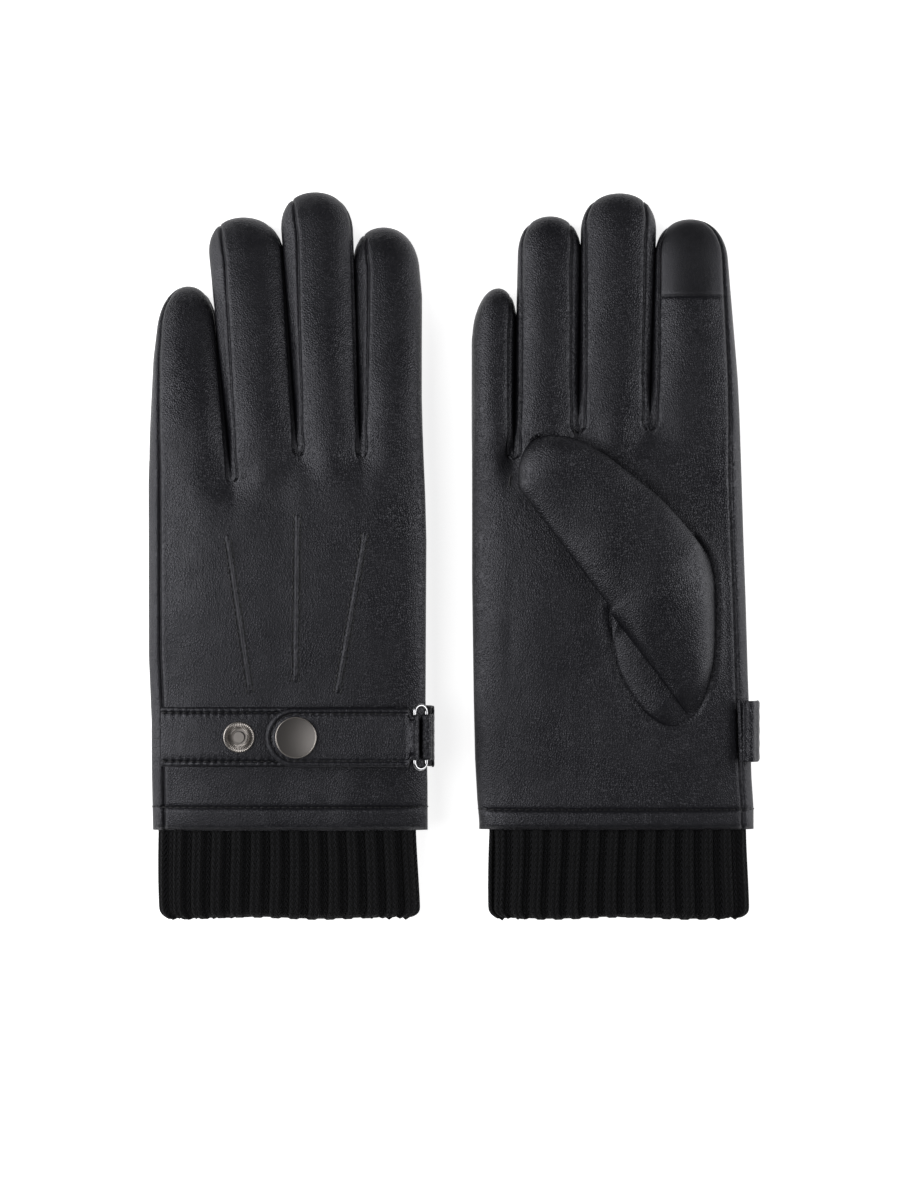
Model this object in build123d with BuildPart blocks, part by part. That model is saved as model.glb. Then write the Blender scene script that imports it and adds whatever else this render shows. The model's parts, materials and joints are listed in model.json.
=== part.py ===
"""A pair of men's leather dress gloves with knitted cuffs and a snap wrist strap, lying flat.

The left glove lies back up, with its thumb folded beneath it. The right glove lies palm up.
Each glove is built in its own frame: X runs from the little finger to the index finger, Y runs
from the hem to the fingertips, and Z points out of the back of the hand. The right glove is then
turned palm up by mirroring it in Z, and both are set on the ground plane side by side.

Leather panels meet edge to edge at their seams. Every finger and the thumb is a separate tube
that is open at its root, so it can fold about a hinge on the crease beside it.
"""

from build123d import *

import os
from math import cos, radians, sin, sqrt

# ---- Materials and clearances (mm)
LEATHER = 1.0  # thickness of one layer of glove leather
LINING = 1.2  # thickness of the knitted lining
LAY_GAP = 0.1  # air between the leather and the lining
JOINT_GAP = 0.3  # air between two pieces that move on one another
OVERRUN = 5.0  # how far a cutting solid runs past what it cuts
FAR = 200.0  # reach of a cutting solid that has to pass a whole glove

# ---- Hand
HAND_HALF_WIDTH = 50.6
ROOT_Y = 146.5  # the fingers fold here, at the palm end of the slits between them
KNUCKLE_Y = 84.0  # where the hand is thickest
SPREAD = HAND_HALF_WIDTH / 50.6  # sizes across the fingers are given for this half width
HEM_HALF_THICKNESS = 8.0
WRIST_HALF_THICKNESS = 6.0  # half thickness of the hand where the strap draws it in
KNUCKLE_HALF_THICKNESS = 8.0
ROOT_HALF_THICKNESS = 7.6
SIDE_FLAT = 0.4  # half height of the flat left at the middle of a rounded side
SEAM_SLOPE = -0.10  # the back panel reaches round the index side, the palm round the other side
LINING_START_Y = 8.0

# ---- Fingers: half width before SPREAD, and how far each stands past the hinge line
FINGER_HALF_WIDTH = {"little": 9.6, "ring": 11.2, "middle": 11.4, "index": 12.0}
FINGER_LENGTH = {"little": 54.5, "ring": 80.0, "middle": 89.2, "index": 77.5}
FINGER_HALF_THICKNESS = 7.4
FINGER_TIP_HALF_THICKNESS = 6.6
FINGER_TILT = 14.0  # degrees that a finger lies rolled about its own length
TIP_LENGTH = 15.0  # length of the rounded end of a finger
TIP_STEPS = [0.4, 2.5, 7.0, TIP_LENGTH]  # sections this far behind the tip
SEAM_HALF_HEIGHT = 5.4  # half height of a side gusset at the finger's root
SEAM_TIP_HALF_HEIGHT = 1.2  # and at its tip
PATCH_Y = ROOT_Y + 50.5  # where the touch-screen patch is seamed to the index finger's front

# ---- Thumb, folded over the palm
THUMB_HINGE = (16.7, 85.5)
THUMB_ANGLE = 37.5  # degrees from +Y towards the little finger
THUMB_HALF_THICKNESS = 5.0
THUMB_LENGTH = 69.5
THUMB_HALF_WIDTHS = [(0.0, 19.6), (18.0, 18.8), (36.0, 17.2), (50.0, 14.6)]
THUMB_TIP_LENGTH = 14.0
THUMB_TIP_STEPS = [0.5, 3.0, 8.0]
# The thumb's base, from the bottom of its oval seam up to the hinge: x, y, half width, half
# thickness, depth of its centre below the palm
THUMB_BASE = [(29.5, 45.0, 5.0, 1.8, 0.2), (26.5, 58.0, 14.5, 4.0, 1.8), (21.6, 72.0, 18.6, 4.8, 3.8)]

# ---- Knitted cuff
CUFF_LENGTH = 32.0
CUFF_HALF_WIDTH = HAND_HALF_WIDTH - 3.1
CUFF_HALF_THICKNESS = 6.0
CUFF_WALL = 1.6

# ---- Three raised points stitched on the back: bottom x, y and top x, y
POINTS = [((-13.0, 50.0), (-21.5, 108.4)), ((3.3, 54.0), (4.1, 115.8)), ((18.5, 50.0), (28.9, 109.5))]
POINT_WIDTH = 1.4
POINT_HEIGHT = 0.7

# ---- Wrist strap and snaps
STRAP_Y = 34.4
STRAP_WIDTH = 21.7
STRAP_FLAT = 26.0  # length of the flat that the hand gives the strap to lie on
STRAP_BASE_THICKNESS = 1.2
STRAP_BASE_X = (5.3 - HAND_HALF_WIDTH, HAND_HALF_WIDTH - 11.0)
STRAP_CORNER = 4.0
STRAP_THICKNESS = 2.0
STRAP_END_X = -7.8
STRAP_GAP = 1.4  # between the sewn strap and the loose one, held apart by the snap
SNAP_X = 3.4
SPARE_STUD_X = -17.5
STUD_RADIUS = 2.0
STUD_HEIGHT = 2.2
STUD_FLANGE_RADIUS = 5.6
STUD_FLANGE_HEIGHT = 0.3
STUD_SHANK_RADIUS = 1.2
SNAP_CLEARANCE = 0.3
SOCKET_RADIUS = 5.4
SOCKET_HEIGHT = 1.0
CAP_RADIUS = 7.5
CAP_HEIGHT = 1.2
CAP_EDGE = 0.5
CAP_SHANK_RADIUS = 3.1

# ---- Wire ring and the leather loop that holds it
WIRE_RADIUS = 0.65
BAR_CLEARANCE = 0.1
FOLD_THICKNESS = 1.0  # leather folded round a bar of the ring
RING_LENGTH = 24.4
FOLD_LENGTH = 16.6
STRAP_SHOULDER = 1.8  # the strap keeps its full width up to this far from the inner bar
LOOP_WIDTH = 22.4
LOOP_THICKNESS = 2.0
LOOP_SLACK = 0.8  # air between the loop and the hand's edge
LOOP_START_X = HAND_HALF_WIDTH - 3.8  # where the loop is caught in the seam on the palm side

# ---- What differs between the two gloves: finger roots and tips before SPREAD, the sideways
# shift of the hem and of the cuff, the sag of the fingertips and of the cuff's end, and where the
# glove's own frame stands in the pair.
GLOVES = {
    "left": {
        "roots": {"little": -37.4, "ring": -12.6, "middle": 11.1, "index": 36.0},
        "tips": {"little": -36.6, "ring": -15.2, "middle": 9.6, "index": 34.4},
        "hem_shift": 0.6,
        "cuff_shift": 0.2,
        "tip_sag": -11.5,
        "cuff_sag": -12.2,
        "centre_x": -HAND_HALF_WIDTH - 11.2,
        "palm_up": False,
    },
    "right": {
        "roots": {"little": -39.4, "ring": -16.4, "middle": 7.4, "index": 33.0},
        "tips": {"little": -39.6, "ring": -19.4, "middle": 3.2, "index": 29.4},
        "hem_shift": 2.4,
        "cuff_shift": 3.3,
        "tip_sag": 5.0,
        "cuff_sag": 5.7,
        "centre_x": HAND_HALF_WIDTH + 6.0,
        "palm_up": True,
    },
}

SAG_Y = STRAP_Y - STRAP_FLAT / 2  # below this line a glove droops towards its cuff
HAND_STATIONS = [
    (0.0, HEM_HALF_THICKNESS),
    (SAG_Y, WRIST_HALF_THICKNESS),
    (STRAP_Y + STRAP_FLAT / 2, WRIST_HALF_THICKNESS),
    (KNUCKLE_Y, KNUCKLE_HALF_THICKNESS),
    (ROOT_Y, ROOT_HALF_THICKNESS),
]
THUMB_DIRECTION = Vector(-sin(radians(THUMB_ANGLE)), cos(radians(THUMB_ANGLE)), 0)
THUMB_ACROSS = Vector(cos(radians(THUMB_ANGLE)), sin(radians(THUMB_ANGLE)), 0)
THUMB_Z = -KNUCKLE_HALF_THICKNESS - JOINT_GAP - THUMB_HALF_THICKNESS
STRAP_BASE_TOP = WRIST_HALF_THICKNESS + STRAP_BASE_THICKNESS
STRAP_BOTTOM = STRAP_BASE_TOP + STRAP_GAP
STRAP_TOP = STRAP_BOTTOM + STRAP_THICKNESS
RING_OUTER_BAR = (HAND_HALF_WIDTH, WRIST_HALF_THICKNESS + 1.0)  # x, z of the bar in the loop
RING_INNER_BAR = (HAND_HALF_WIDTH - 4.2, (STRAP_BOTTOM + STRAP_TOP) / 2)  # and in the strap
BAR_BORE_RADIUS = WIRE_RADIUS + BAR_CLEARANCE
BAR_FOLD_RADIUS = BAR_BORE_RADIUS + FOLD_THICKNESS


# ---- Filled shapes
def spine(glove, y):
    """Height of the hand's middle at y: level over the hand, sagging towards the cuff."""
    return glove["cuff_sag"] * max(0.0, SAG_Y - y) / (SAG_Y + CUFF_LENGTH)


def hand_shift(glove, y):
    """Sideways shift of the hand's middle at y."""
    return glove["hem_shift"] * max(0.0, KNUCKLE_Y - y) / KNUCKLE_Y


def run_on(station, towards, overrun):
    """A station of the hand moved past its end of the hand, in line with the next station."""
    (y, half), (next_y, next_half) = station, towards
    share = overrun / abs(next_y - y)
    return y + (y - next_y) * share, half + (half - next_half) * share


def hand_solid(glove, inset, overrun=0.0):
    """The whole hand as a filled shape, taken in by inset and run on past both ends."""
    stations = list(HAND_STATIONS)
    stations[0] = run_on(HAND_STATIONS[0], HAND_STATIONS[1], overrun)
    stations[-1] = run_on(HAND_STATIONS[-1], HAND_STATIONS[-2], overrun)
    with BuildPart() as solid:
        for y, half in stations:
            with BuildSketch(Plane.XZ.offset(-y)):
                with Locations((hand_shift(glove, y), spine(glove, y))):
                    RectangleRounded(
                        2 * (HAND_HALF_WIDTH - inset), 2 * (half - inset), half - inset - SIDE_FLAT
                    )
        loft(ruled=True)
    return solid.part


def cuff_solid(glove, inset, overrun=0.0):
    """The knitted cuff as a filled shape."""
    with BuildPart() as solid:
        for y in (LINING_START_Y + overrun, -CUFF_LENGTH - overrun):
            with BuildSketch(Plane.XZ.offset(-y)):
                with Locations((glove["cuff_shift"], spine(glove, y))):
                    RectangleRounded(
                        2 * (CUFF_HALF_WIDTH - inset),
                        2 * (CUFF_HALF_THICKNESS - inset),
                        CUFF_HALF_THICKNESS - inset - SIDE_FLAT,
                    )
        loft(ruled=True)
    return solid.part


def finger_solid(glove, name, inset, overrun=0.0):
    """A finger as a filled shape, taken in by inset, starting this far before the hinge line."""
    length = FINGER_LENGTH[name]
    root, tip = glove["roots"][name] * SPREAD, glove["tips"][name] * SPREAD
    stations = [(-overrun, 1.0)]
    for back in reversed(TIP_STEPS):
        stations.append((length - inset - back, sqrt(1 - (1 - back / TIP_LENGTH) ** 2)))
    with BuildPart() as solid:
        for along, scale in stations:
            share = along / length
            half = FINGER_HALF_THICKNESS + (FINGER_TIP_HALF_THICKNESS - FINGER_HALF_THICKNESS) * share
            with BuildSketch(Plane.XZ.offset(-(ROOT_Y + JOINT_GAP + along))):
                with Locations((root + (tip - root) * share, glove["tip_sag"] * share)):
                    Ellipse(
                        (FINGER_HALF_WIDTH[name] * SPREAD - inset) * scale,
                        (half - inset) * scale,
                        rotation=FINGER_TILT,
                    )
        loft(ruled=True)
    return solid.part


def thumb_plane(x, y, z):
    """A plane across the thumb."""
    return Plane(origin=(x, y, z), x_dir=THUMB_ACROSS, z_dir=THUMB_DIRECTION)


def thumb_place(along):
    """A plane across the thumb at a distance past its hinge."""
    centre = Vector(*THUMB_HINGE) + THUMB_DIRECTION * along
    return thumb_plane(centre.X, centre.Y, THUMB_Z)


def thumb_base_solid(inset, overrun):
    """The thumb's sewn-in base as a filled shape, ending this far past the hinge."""
    with BuildPart() as solid:
        for x, y, width, thickness, depth in THUMB_BASE:
            with BuildSketch(thumb_plane(x, y, -KNUCKLE_HALF_THICKNESS - depth)):
                Ellipse(width - inset, thickness - inset)
        with BuildSketch(thumb_place(overrun)):
            Ellipse(THUMB_HALF_WIDTHS[0][1] - inset, THUMB_HALF_THICKNESS - inset)
        loft(ruled=True)
    return solid.part


def thumb_tip_solid(inset, overrun=0.0):
    """The thumb's free part as a filled shape, starting this far before the hinge."""
    stations = [(along - overrun * (along == 0), width, 1.0) for along, width in THUMB_HALF_WIDTHS]
    for back in reversed(THUMB_TIP_STEPS):
        scale = sqrt(1 - (1 - back / THUMB_TIP_LENGTH) ** 2)
        stations.append((THUMB_LENGTH - inset - back, THUMB_HALF_WIDTHS[-1][1], scale))
    with BuildPart() as solid:
        for along, width, scale in stations:
            with BuildSketch(thumb_place(along)):
                Ellipse((width - inset) * scale, (THUMB_HALF_THICKNESS - inset) * scale)
        loft(ruled=True)
    return solid.part


def back_side(glove):
    """All space on the back side of the seams along the hand's two edges."""
    with BuildPart() as space:
        for y in (-OVERRUN, SAG_Y, ROOT_Y + OVERRUN):
            low = spine(glove, y) - SEAM_SLOPE * FAR
            high = spine(glove, y) + SEAM_SLOPE * FAR
            with BuildSketch(Plane.XZ.offset(-y)):
                with BuildLine():
                    Polyline((-FAR, low), (FAR, high), (FAR, FAR), (-FAR, FAR), close=True)
                make_face()
        loft(ruled=True)
    return space.part


def finger_end_box(start_y):
    """All space beyond a line across the fingers."""
    with BuildPart() as space:
        with BuildSketch(Plane.XZ.offset(-start_y)):
            Rectangle(2 * FAR, 2 * FAR)
        extrude(amount=-FAR)
    return space.part


# ---- Hand
def hand_back(glove, outer, inner, back_space):
    """The back panel, which wraps over the index side, with its three raised points."""
    raised = hand_solid(glove, -POINT_HEIGHT) - outer
    with BuildPart() as tucks:
        for bottom, top in POINTS:
            run = Vector(*top) - Vector(*bottom)
            with BuildSketch(Plane(origin=Vector(*bottom), x_dir=run, z_dir=(0, 0, 1))):
                with Locations((run.length / 2, 0)):
                    SlotOverall(run.length, POINT_WIDTH)
        extrude(amount=FAR)
        add(raised, mode=Mode.INTERSECT)
    with BuildPart() as panel:
        add(outer)
        add(inner, mode=Mode.SUBTRACT)
        add(back_space, mode=Mode.INTERSECT)
        add(tucks.part)
    return panel.part


def hand_palm(outer, inner, back_space):
    """The palm panel, which wraps over the little finger's side, with the thumb's base."""
    thumb_room = thumb_base_solid(LEATHER, JOINT_GAP)
    with BuildPart() as thumb_base:
        add(thumb_base_solid(0.0, -JOINT_GAP))
        add(outer, mode=Mode.SUBTRACT)
    with BuildPart() as panel:
        add(outer)
        add(inner, mode=Mode.SUBTRACT)
        add(back_space, mode=Mode.SUBTRACT)
        add(thumb_base.part)
        add(thumb_room, mode=Mode.SUBTRACT)
    return panel.part


def hand_lining(glove):
    """The knitted lining of the hand, open at the fingers, the thumb and the wrist."""
    outside = LEATHER + LAY_GAP
    with BuildPart() as lining:
        add(hand_solid(glove, outside))
        add(hand_solid(glove, outside + LINING, OVERRUN), mode=Mode.SUBTRACT)
        add(thumb_base_solid(LEATHER, JOINT_GAP), mode=Mode.SUBTRACT)
        add(finger_end_box(LINING_START_Y), mode=Mode.INTERSECT)
    return lining.part


def rib_cuff(glove):
    """The knitted cuff, sewn to the lining inside the hem and hanging out of it."""
    with BuildPart() as cuff:
        add(cuff_solid(glove, 0.0))
        add(cuff_solid(glove, CUFF_WALL, OVERRUN), mode=Mode.SUBTRACT)
    return cuff.part


# ---- Fingers
def gusset_zone(glove, name):
    """The band of space along a finger that its side gussets fill, narrowing to the tip."""
    start, end = ROOT_Y - OVERRUN, ROOT_Y + FINGER_LENGTH[name] + OVERRUN
    sag = glove["tip_sag"] / FINGER_LENGTH[name]
    start_z, end_z = sag * (start - ROOT_Y), sag * (end - ROOT_Y)
    with BuildPart() as zone:
        with BuildSketch(Plane.YZ):
            with BuildLine():
                Polyline(
                    (start, start_z - SEAM_HALF_HEIGHT),
                    (end, end_z - SEAM_TIP_HALF_HEIGHT),
                    (end, end_z + SEAM_TIP_HALF_HEIGHT),
                    (start, start_z + SEAM_HALF_HEIGHT),
                    close=True,
                )
            make_face()
        extrude(amount=FAR, both=True)
    return zone.part


def above_seams(glove, name, edge):
    """All space above the upper seams of a finger (edge 1) or below its lower ones (edge -1)."""
    start, end = ROOT_Y - OVERRUN, ROOT_Y + FINGER_LENGTH[name] + OVERRUN
    sag = glove["tip_sag"] / FINGER_LENGTH[name]
    with BuildPart() as space:
        with BuildSketch(Plane.YZ):
            with BuildLine():
                Polyline(
                    (start, sag * (start - ROOT_Y) + edge * SEAM_HALF_HEIGHT),
                    (end, sag * (end - ROOT_Y) + edge * SEAM_TIP_HALF_HEIGHT),
                    (end, edge * FAR),
                    (start, edge * FAR),
                    close=True,
                )
            make_face()
        extrude(amount=FAR, both=True)
    return space.part


def beside(glove, name, side):
    """All space on one side of a finger's middle: -1 the little finger's side, 1 the index side."""
    root, tip = glove["roots"][name] * SPREAD, glove["tips"][name] * SPREAD
    start, end = ROOT_Y - OVERRUN, ROOT_Y + FINGER_LENGTH[name] + OVERRUN
    with BuildPart() as space:
        with BuildSketch():
            with BuildLine():
                Polyline(
                    (root, start), (tip, end), (tip + side * FAR, end), (root + side * FAR, start), close=True
                )
            make_face()
        extrude(amount=FAR, both=True)
    return space.part


def finger_strip(shell, space):
    """The part of a finger's leather that lies in a space."""
    with BuildPart() as strip:
        add(shell)
        add(space, mode=Mode.INTERSECT)
    return strip.part


def finger_pieces(glove, name):
    """A finger's back and front strips, its side gussets and its lining."""
    shell = finger_solid(glove, name, 0.0) - finger_solid(glove, name, LEATHER, OVERRUN)
    strips = {
        "back": finger_strip(shell, above_seams(glove, name, 1)),
        "front": finger_strip(shell, above_seams(glove, name, -1)),
        "gussets": finger_strip(shell, gusset_zone(glove, name)),
    }
    wrapped = {"little": ("front", -1), "index": ("back", 1)}.get(name)
    if wrapped:
        strip, side = wrapped
        outside = beside(glove, name, side)
        with BuildPart() as wrap:
            add(strips[strip])
            add(finger_strip(strips["gussets"], outside))
        strips[strip] = wrap.part
        strips["gussets"] = strips["gussets"] - outside
    clear = LEATHER + LAY_GAP
    with BuildPart() as lining:
        add(finger_solid(glove, name, clear))
        add(finger_solid(glove, name, clear + LINING, OVERRUN), mode=Mode.SUBTRACT)
    strips["lining"] = lining.part
    return {f"{name}_{strip}": piece for strip, piece in strips.items()}


# ---- Thumb
def thumb_pieces():
    """The free part of the thumb and its lining."""
    clear = LEATHER + LAY_GAP
    with BuildPart() as thumb:
        add(thumb_tip_solid(0.0))
        add(thumb_tip_solid(LEATHER, JOINT_GAP), mode=Mode.SUBTRACT)
    with BuildPart() as lining:
        add(thumb_tip_solid(clear))
        add(thumb_tip_solid(clear + LINING, JOINT_GAP), mode=Mode.SUBTRACT)
    return {"thumb": thumb.part, "thumb_lining": lining.part}


# ---- Strap and snaps, all built about the middle of the wrist
def strap_base():
    """The strap sewn flat across the back, with holes for the two studs' shanks."""
    low_x, high_x = STRAP_BASE_X
    with BuildPart() as base:
        with BuildSketch(Plane.XY.offset(WRIST_HALF_THICKNESS)):
            with Locations(((low_x + high_x) / 2, STRAP_Y)):
                Rectangle(high_x - low_x, STRAP_WIDTH)
        extrude(amount=STRAP_BASE_THICKNESS)
        fillet(base.edges().filter_by(Axis.Z).group_by(Axis.X)[-1], radius=STRAP_CORNER)
        with Locations((SPARE_STUD_X, STRAP_Y, STRAP_BASE_TOP), (SNAP_X, STRAP_Y, STRAP_BASE_TOP)):
            Hole(STUD_SHANK_RADIUS)
    return base.part


def studs():
    """The two snap studs: a post on a flange, riveted through the sewn strap on a shank."""
    places = [(SPARE_STUD_X, STRAP_Y), (SNAP_X, STRAP_Y)]
    sizes = [
        (STUD_FLANGE_RADIUS, STUD_FLANGE_HEIGHT),
        (STUD_RADIUS, STUD_HEIGHT),
        (STUD_SHANK_RADIUS, LAY_GAP - STRAP_BASE_THICKNESS),
    ]
    with BuildPart() as pair:
        for radius, height in sizes:
            with BuildSketch(Plane.XY.offset(STRAP_BASE_TOP)):
                with Locations(*places):
                    Circle(radius)
            extrude(amount=height)
    return pair.part


def strap():
    """The loose strap: a round-ended tab with a hole for the cap's shank, folded round the ring."""
    x, z = RING_INNER_BAR
    shoulder = x - STRAP_SHOULDER
    end_centre = STRAP_END_X + STRAP_WIDTH / 2
    with BuildPart() as tab:
        with BuildSketch(Plane.XY.offset(STRAP_BOTTOM)):
            with Locations((end_centre, STRAP_Y)):
                Circle(STRAP_WIDTH / 2)
            with Locations(((shoulder + end_centre) / 2, STRAP_Y)):
                Rectangle(shoulder - end_centre, STRAP_WIDTH)
            with Locations(((shoulder + x) / 2, STRAP_Y)):
                Rectangle(x - shoulder, FOLD_LENGTH)
        extrude(amount=STRAP_THICKNESS)
        with BuildSketch(Plane.XZ.offset(-STRAP_Y)):
            with Locations((x, z)):
                Circle(BAR_FOLD_RADIUS)
        extrude(amount=FOLD_LENGTH / 2, both=True)
        with BuildSketch(Plane.XZ.offset(-STRAP_Y)):
            with Locations((x, z)):
                Circle(BAR_BORE_RADIUS)
        extrude(amount=RING_LENGTH, both=True, mode=Mode.SUBTRACT)
        with Locations((SNAP_X, STRAP_Y, STRAP_TOP)):
            Hole(CAP_SHANK_RADIUS)
    return tab.part


def snap_cap():
    """The cap, with a hollow shank through the strap that the stud enters from below."""
    with BuildPart() as cap:
        with BuildSketch(Plane.XY.offset(STRAP_TOP)):
            with Locations((SNAP_X, STRAP_Y)):
                Circle(CAP_RADIUS)
        extrude(amount=CAP_HEIGHT)
        fillet(cap.edges().group_by(Axis.Z)[-1], radius=CAP_EDGE)
        with BuildSketch(Plane.XY.offset(STRAP_BOTTOM)):
            with Locations((SNAP_X, STRAP_Y)):
                Circle(CAP_SHANK_RADIUS)
                Circle(STUD_RADIUS + SNAP_CLEARANCE, mode=Mode.SUBTRACT)
        extrude(amount=STRAP_THICKNESS)
    return cap.part


def snap_socket():
    """The ring under the strap that grips the stud."""
    with BuildPart() as socket:
        with BuildSketch(Plane.XY.offset(STRAP_BOTTOM - SOCKET_HEIGHT)):
            with Locations((SNAP_X, STRAP_Y)):
                Circle(SOCKET_RADIUS)
                Circle(STUD_RADIUS + SNAP_CLEARANCE, mode=Mode.SUBTRACT)
        extrude(amount=SOCKET_HEIGHT)
    return socket.part


def wire_ring():
    """The long wire ring between the strap and the loop, lying at a slant over the glove's edge."""
    outer = Vector(RING_OUTER_BAR[0], STRAP_Y, RING_OUTER_BAR[1])
    inner = Vector(RING_INNER_BAR[0], STRAP_Y, RING_INNER_BAR[1])
    across = inner - outer
    plane = Plane(origin=(outer + inner) * 0.5, x_dir=across, z_dir=across.cross(Vector(0, 1, 0)))
    side = across.length / 2
    half_bar = RING_LENGTH / 2 - WIRE_RADIUS - side
    with BuildPart() as ring:
        with BuildLine(plane) as path:
            Line((side, -half_bar), (side, half_bar))
            ThreePointArc((side, half_bar), (0, half_bar + side), (-side, half_bar))
            Line((-side, half_bar), (-side, -half_bar))
            ThreePointArc((-side, -half_bar), (0, -half_bar - side), (side, -half_bar))
        with BuildSketch(Plane(origin=path.line @ 0, z_dir=path.line % 0)):
            Circle(WIRE_RADIUS)
        sweep(path=path.wires()[0])
    return ring.part


def ring_loop():
    """The leather loop from the palm seam round the hand's edge, folded round the ring's bar."""
    x, z = RING_OUTER_BAR
    inside_width = HAND_HALF_WIDTH + LOOP_SLACK
    inside_height = WRIST_HALF_THICKNESS + LAY_GAP
    outside_width = inside_width + LOOP_THICKNESS
    outside_height = inside_height + LOOP_THICKNESS
    strip_top = z - WIRE_RADIUS - JOINT_GAP
    with BuildPart() as loop:
        with BuildSketch(Plane.XZ.offset(-STRAP_Y)):
            RectangleRounded(2 * outside_width, 2 * outside_height, outside_height - SIDE_FLAT)
            RectangleRounded(
                2 * inside_width, 2 * inside_height, inside_height - SIDE_FLAT, mode=Mode.SUBTRACT
            )
            with Locations(((LOOP_START_X + outside_width) / 2, -outside_height / 2)):
                Rectangle(outside_width - LOOP_START_X, outside_height, mode=Mode.INTERSECT)
            with Locations((inside_width + LOOP_THICKNESS / 2, strip_top / 2)):
                Rectangle(LOOP_THICKNESS, strip_top)
        extrude(amount=LOOP_WIDTH / 2, both=True)
        with BuildSketch(Plane.XZ.offset(-STRAP_Y)):
            with Locations((x, z)):
                Circle(BAR_FOLD_RADIUS)
        extrude(amount=FOLD_LENGTH / 2, both=True)
        with BuildSketch(Plane.XZ.offset(-STRAP_Y)):
            with Locations((x, z)):
                Circle(BAR_BORE_RADIUS)
        extrude(amount=RING_LENGTH, both=True, mode=Mode.SUBTRACT)
    return loop.part


# ---- The pair
def glove_pieces(glove):
    """Every piece of one glove, in the glove's own frame, by name."""
    outer = hand_solid(glove, 0.0)
    inner = hand_solid(glove, LEATHER, OVERRUN)
    back_space = back_side(glove)
    pieces = {
        "hand_back": hand_back(glove, outer, inner, back_space),
        "hand_palm": hand_palm(outer, inner, back_space),
        "hand_lining": hand_lining(glove),
        "rib_cuff": rib_cuff(glove),
    }
    for name in FINGER_LENGTH:
        pieces.update(finger_pieces(glove, name))
    patch_space = finger_end_box(PATCH_Y)
    pieces["index_touch_patch"] = finger_strip(pieces["index_front"], patch_space)
    pieces["index_front"] = pieces["index_front"] - patch_space
    pieces.update(thumb_pieces())
    wrist = {
        "strap_base": strap_base(),
        "studs": studs(),
        "strap": strap(),
        "snap_cap": snap_cap(),
        "snap_socket": snap_socket(),
        "ring": wire_ring(),
        "ring_loop": ring_loop(),
    }
    for name, piece in wrist.items():
        pieces[name] = Pos(hand_shift(glove, STRAP_Y), 0, 0) * piece
    return pieces


parts = {}
for side, glove in GLOVES.items():
    pieces = glove_pieces(glove)
    if glove["palm_up"]:
        pieces = {name: mirror(piece, about=Plane.XY) for name, piece in pieces.items()}
    floor = min(piece.bounding_box().min.Z for piece in pieces.values())
    for name, piece in pieces.items():
        parts[f"{side}_{name}"] = Pos(glove["centre_x"], 0, -floor) * piece

extent = Compound(list(parts.values())).bounding_box()
middle = Pos(-extent.center().X, -extent.center().Y, 0)
os.makedirs("parts", exist_ok=True)
for name, piece in parts.items():
    with BuildPart() as node:
        add(middle * piece)
    node.part.label = name
    export_step(node.part, f"parts/{name}.step")
    print(f"{name}: {len(node.part.solids())} solids, {node.part.volume:.0f} mm3")
print(f"frame moved by {middle.position.X:.3f}, {middle.position.Y:.3f}")
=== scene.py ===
import json
from math import cos, hypot, pi, radians, sin

import bpy
import numpy as np
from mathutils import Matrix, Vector


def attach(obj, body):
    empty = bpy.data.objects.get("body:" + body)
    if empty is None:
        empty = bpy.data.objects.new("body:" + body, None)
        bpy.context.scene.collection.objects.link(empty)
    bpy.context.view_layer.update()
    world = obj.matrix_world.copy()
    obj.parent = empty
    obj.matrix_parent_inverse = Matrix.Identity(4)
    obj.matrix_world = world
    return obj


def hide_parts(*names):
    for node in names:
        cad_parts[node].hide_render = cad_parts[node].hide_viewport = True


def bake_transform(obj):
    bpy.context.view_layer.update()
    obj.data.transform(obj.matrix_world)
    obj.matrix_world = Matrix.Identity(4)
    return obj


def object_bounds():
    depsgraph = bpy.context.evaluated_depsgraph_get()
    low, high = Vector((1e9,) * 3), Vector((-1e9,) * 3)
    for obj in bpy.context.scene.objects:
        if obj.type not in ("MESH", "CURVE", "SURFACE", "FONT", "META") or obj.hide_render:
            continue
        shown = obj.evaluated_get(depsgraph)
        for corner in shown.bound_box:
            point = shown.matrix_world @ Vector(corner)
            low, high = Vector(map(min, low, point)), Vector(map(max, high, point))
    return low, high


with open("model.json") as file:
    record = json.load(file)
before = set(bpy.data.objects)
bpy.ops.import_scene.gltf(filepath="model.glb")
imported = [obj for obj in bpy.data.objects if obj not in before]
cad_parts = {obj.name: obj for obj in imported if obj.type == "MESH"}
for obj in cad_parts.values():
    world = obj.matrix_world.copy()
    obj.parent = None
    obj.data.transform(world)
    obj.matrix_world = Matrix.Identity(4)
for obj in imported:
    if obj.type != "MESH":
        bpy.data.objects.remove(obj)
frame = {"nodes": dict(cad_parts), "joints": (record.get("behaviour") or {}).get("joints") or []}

cad_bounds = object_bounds()

# ---- Hand panels
# Two pieces of thin grained nappa leather make the hand. The back one wraps over the index
# finger's side and the palm one over the little finger's side. They are sewn inside out and
# turned, so a seam shows as a groove between two soft edges.

MM = 0.001
FINGERS = ("little", "ring", "middle", "index")
ROOT_Y = 146.65  # the fingers' hinge line, from the hem's edge
PALM_LEVEL = -8.0  # the hinges lie in the palm's surface
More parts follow.
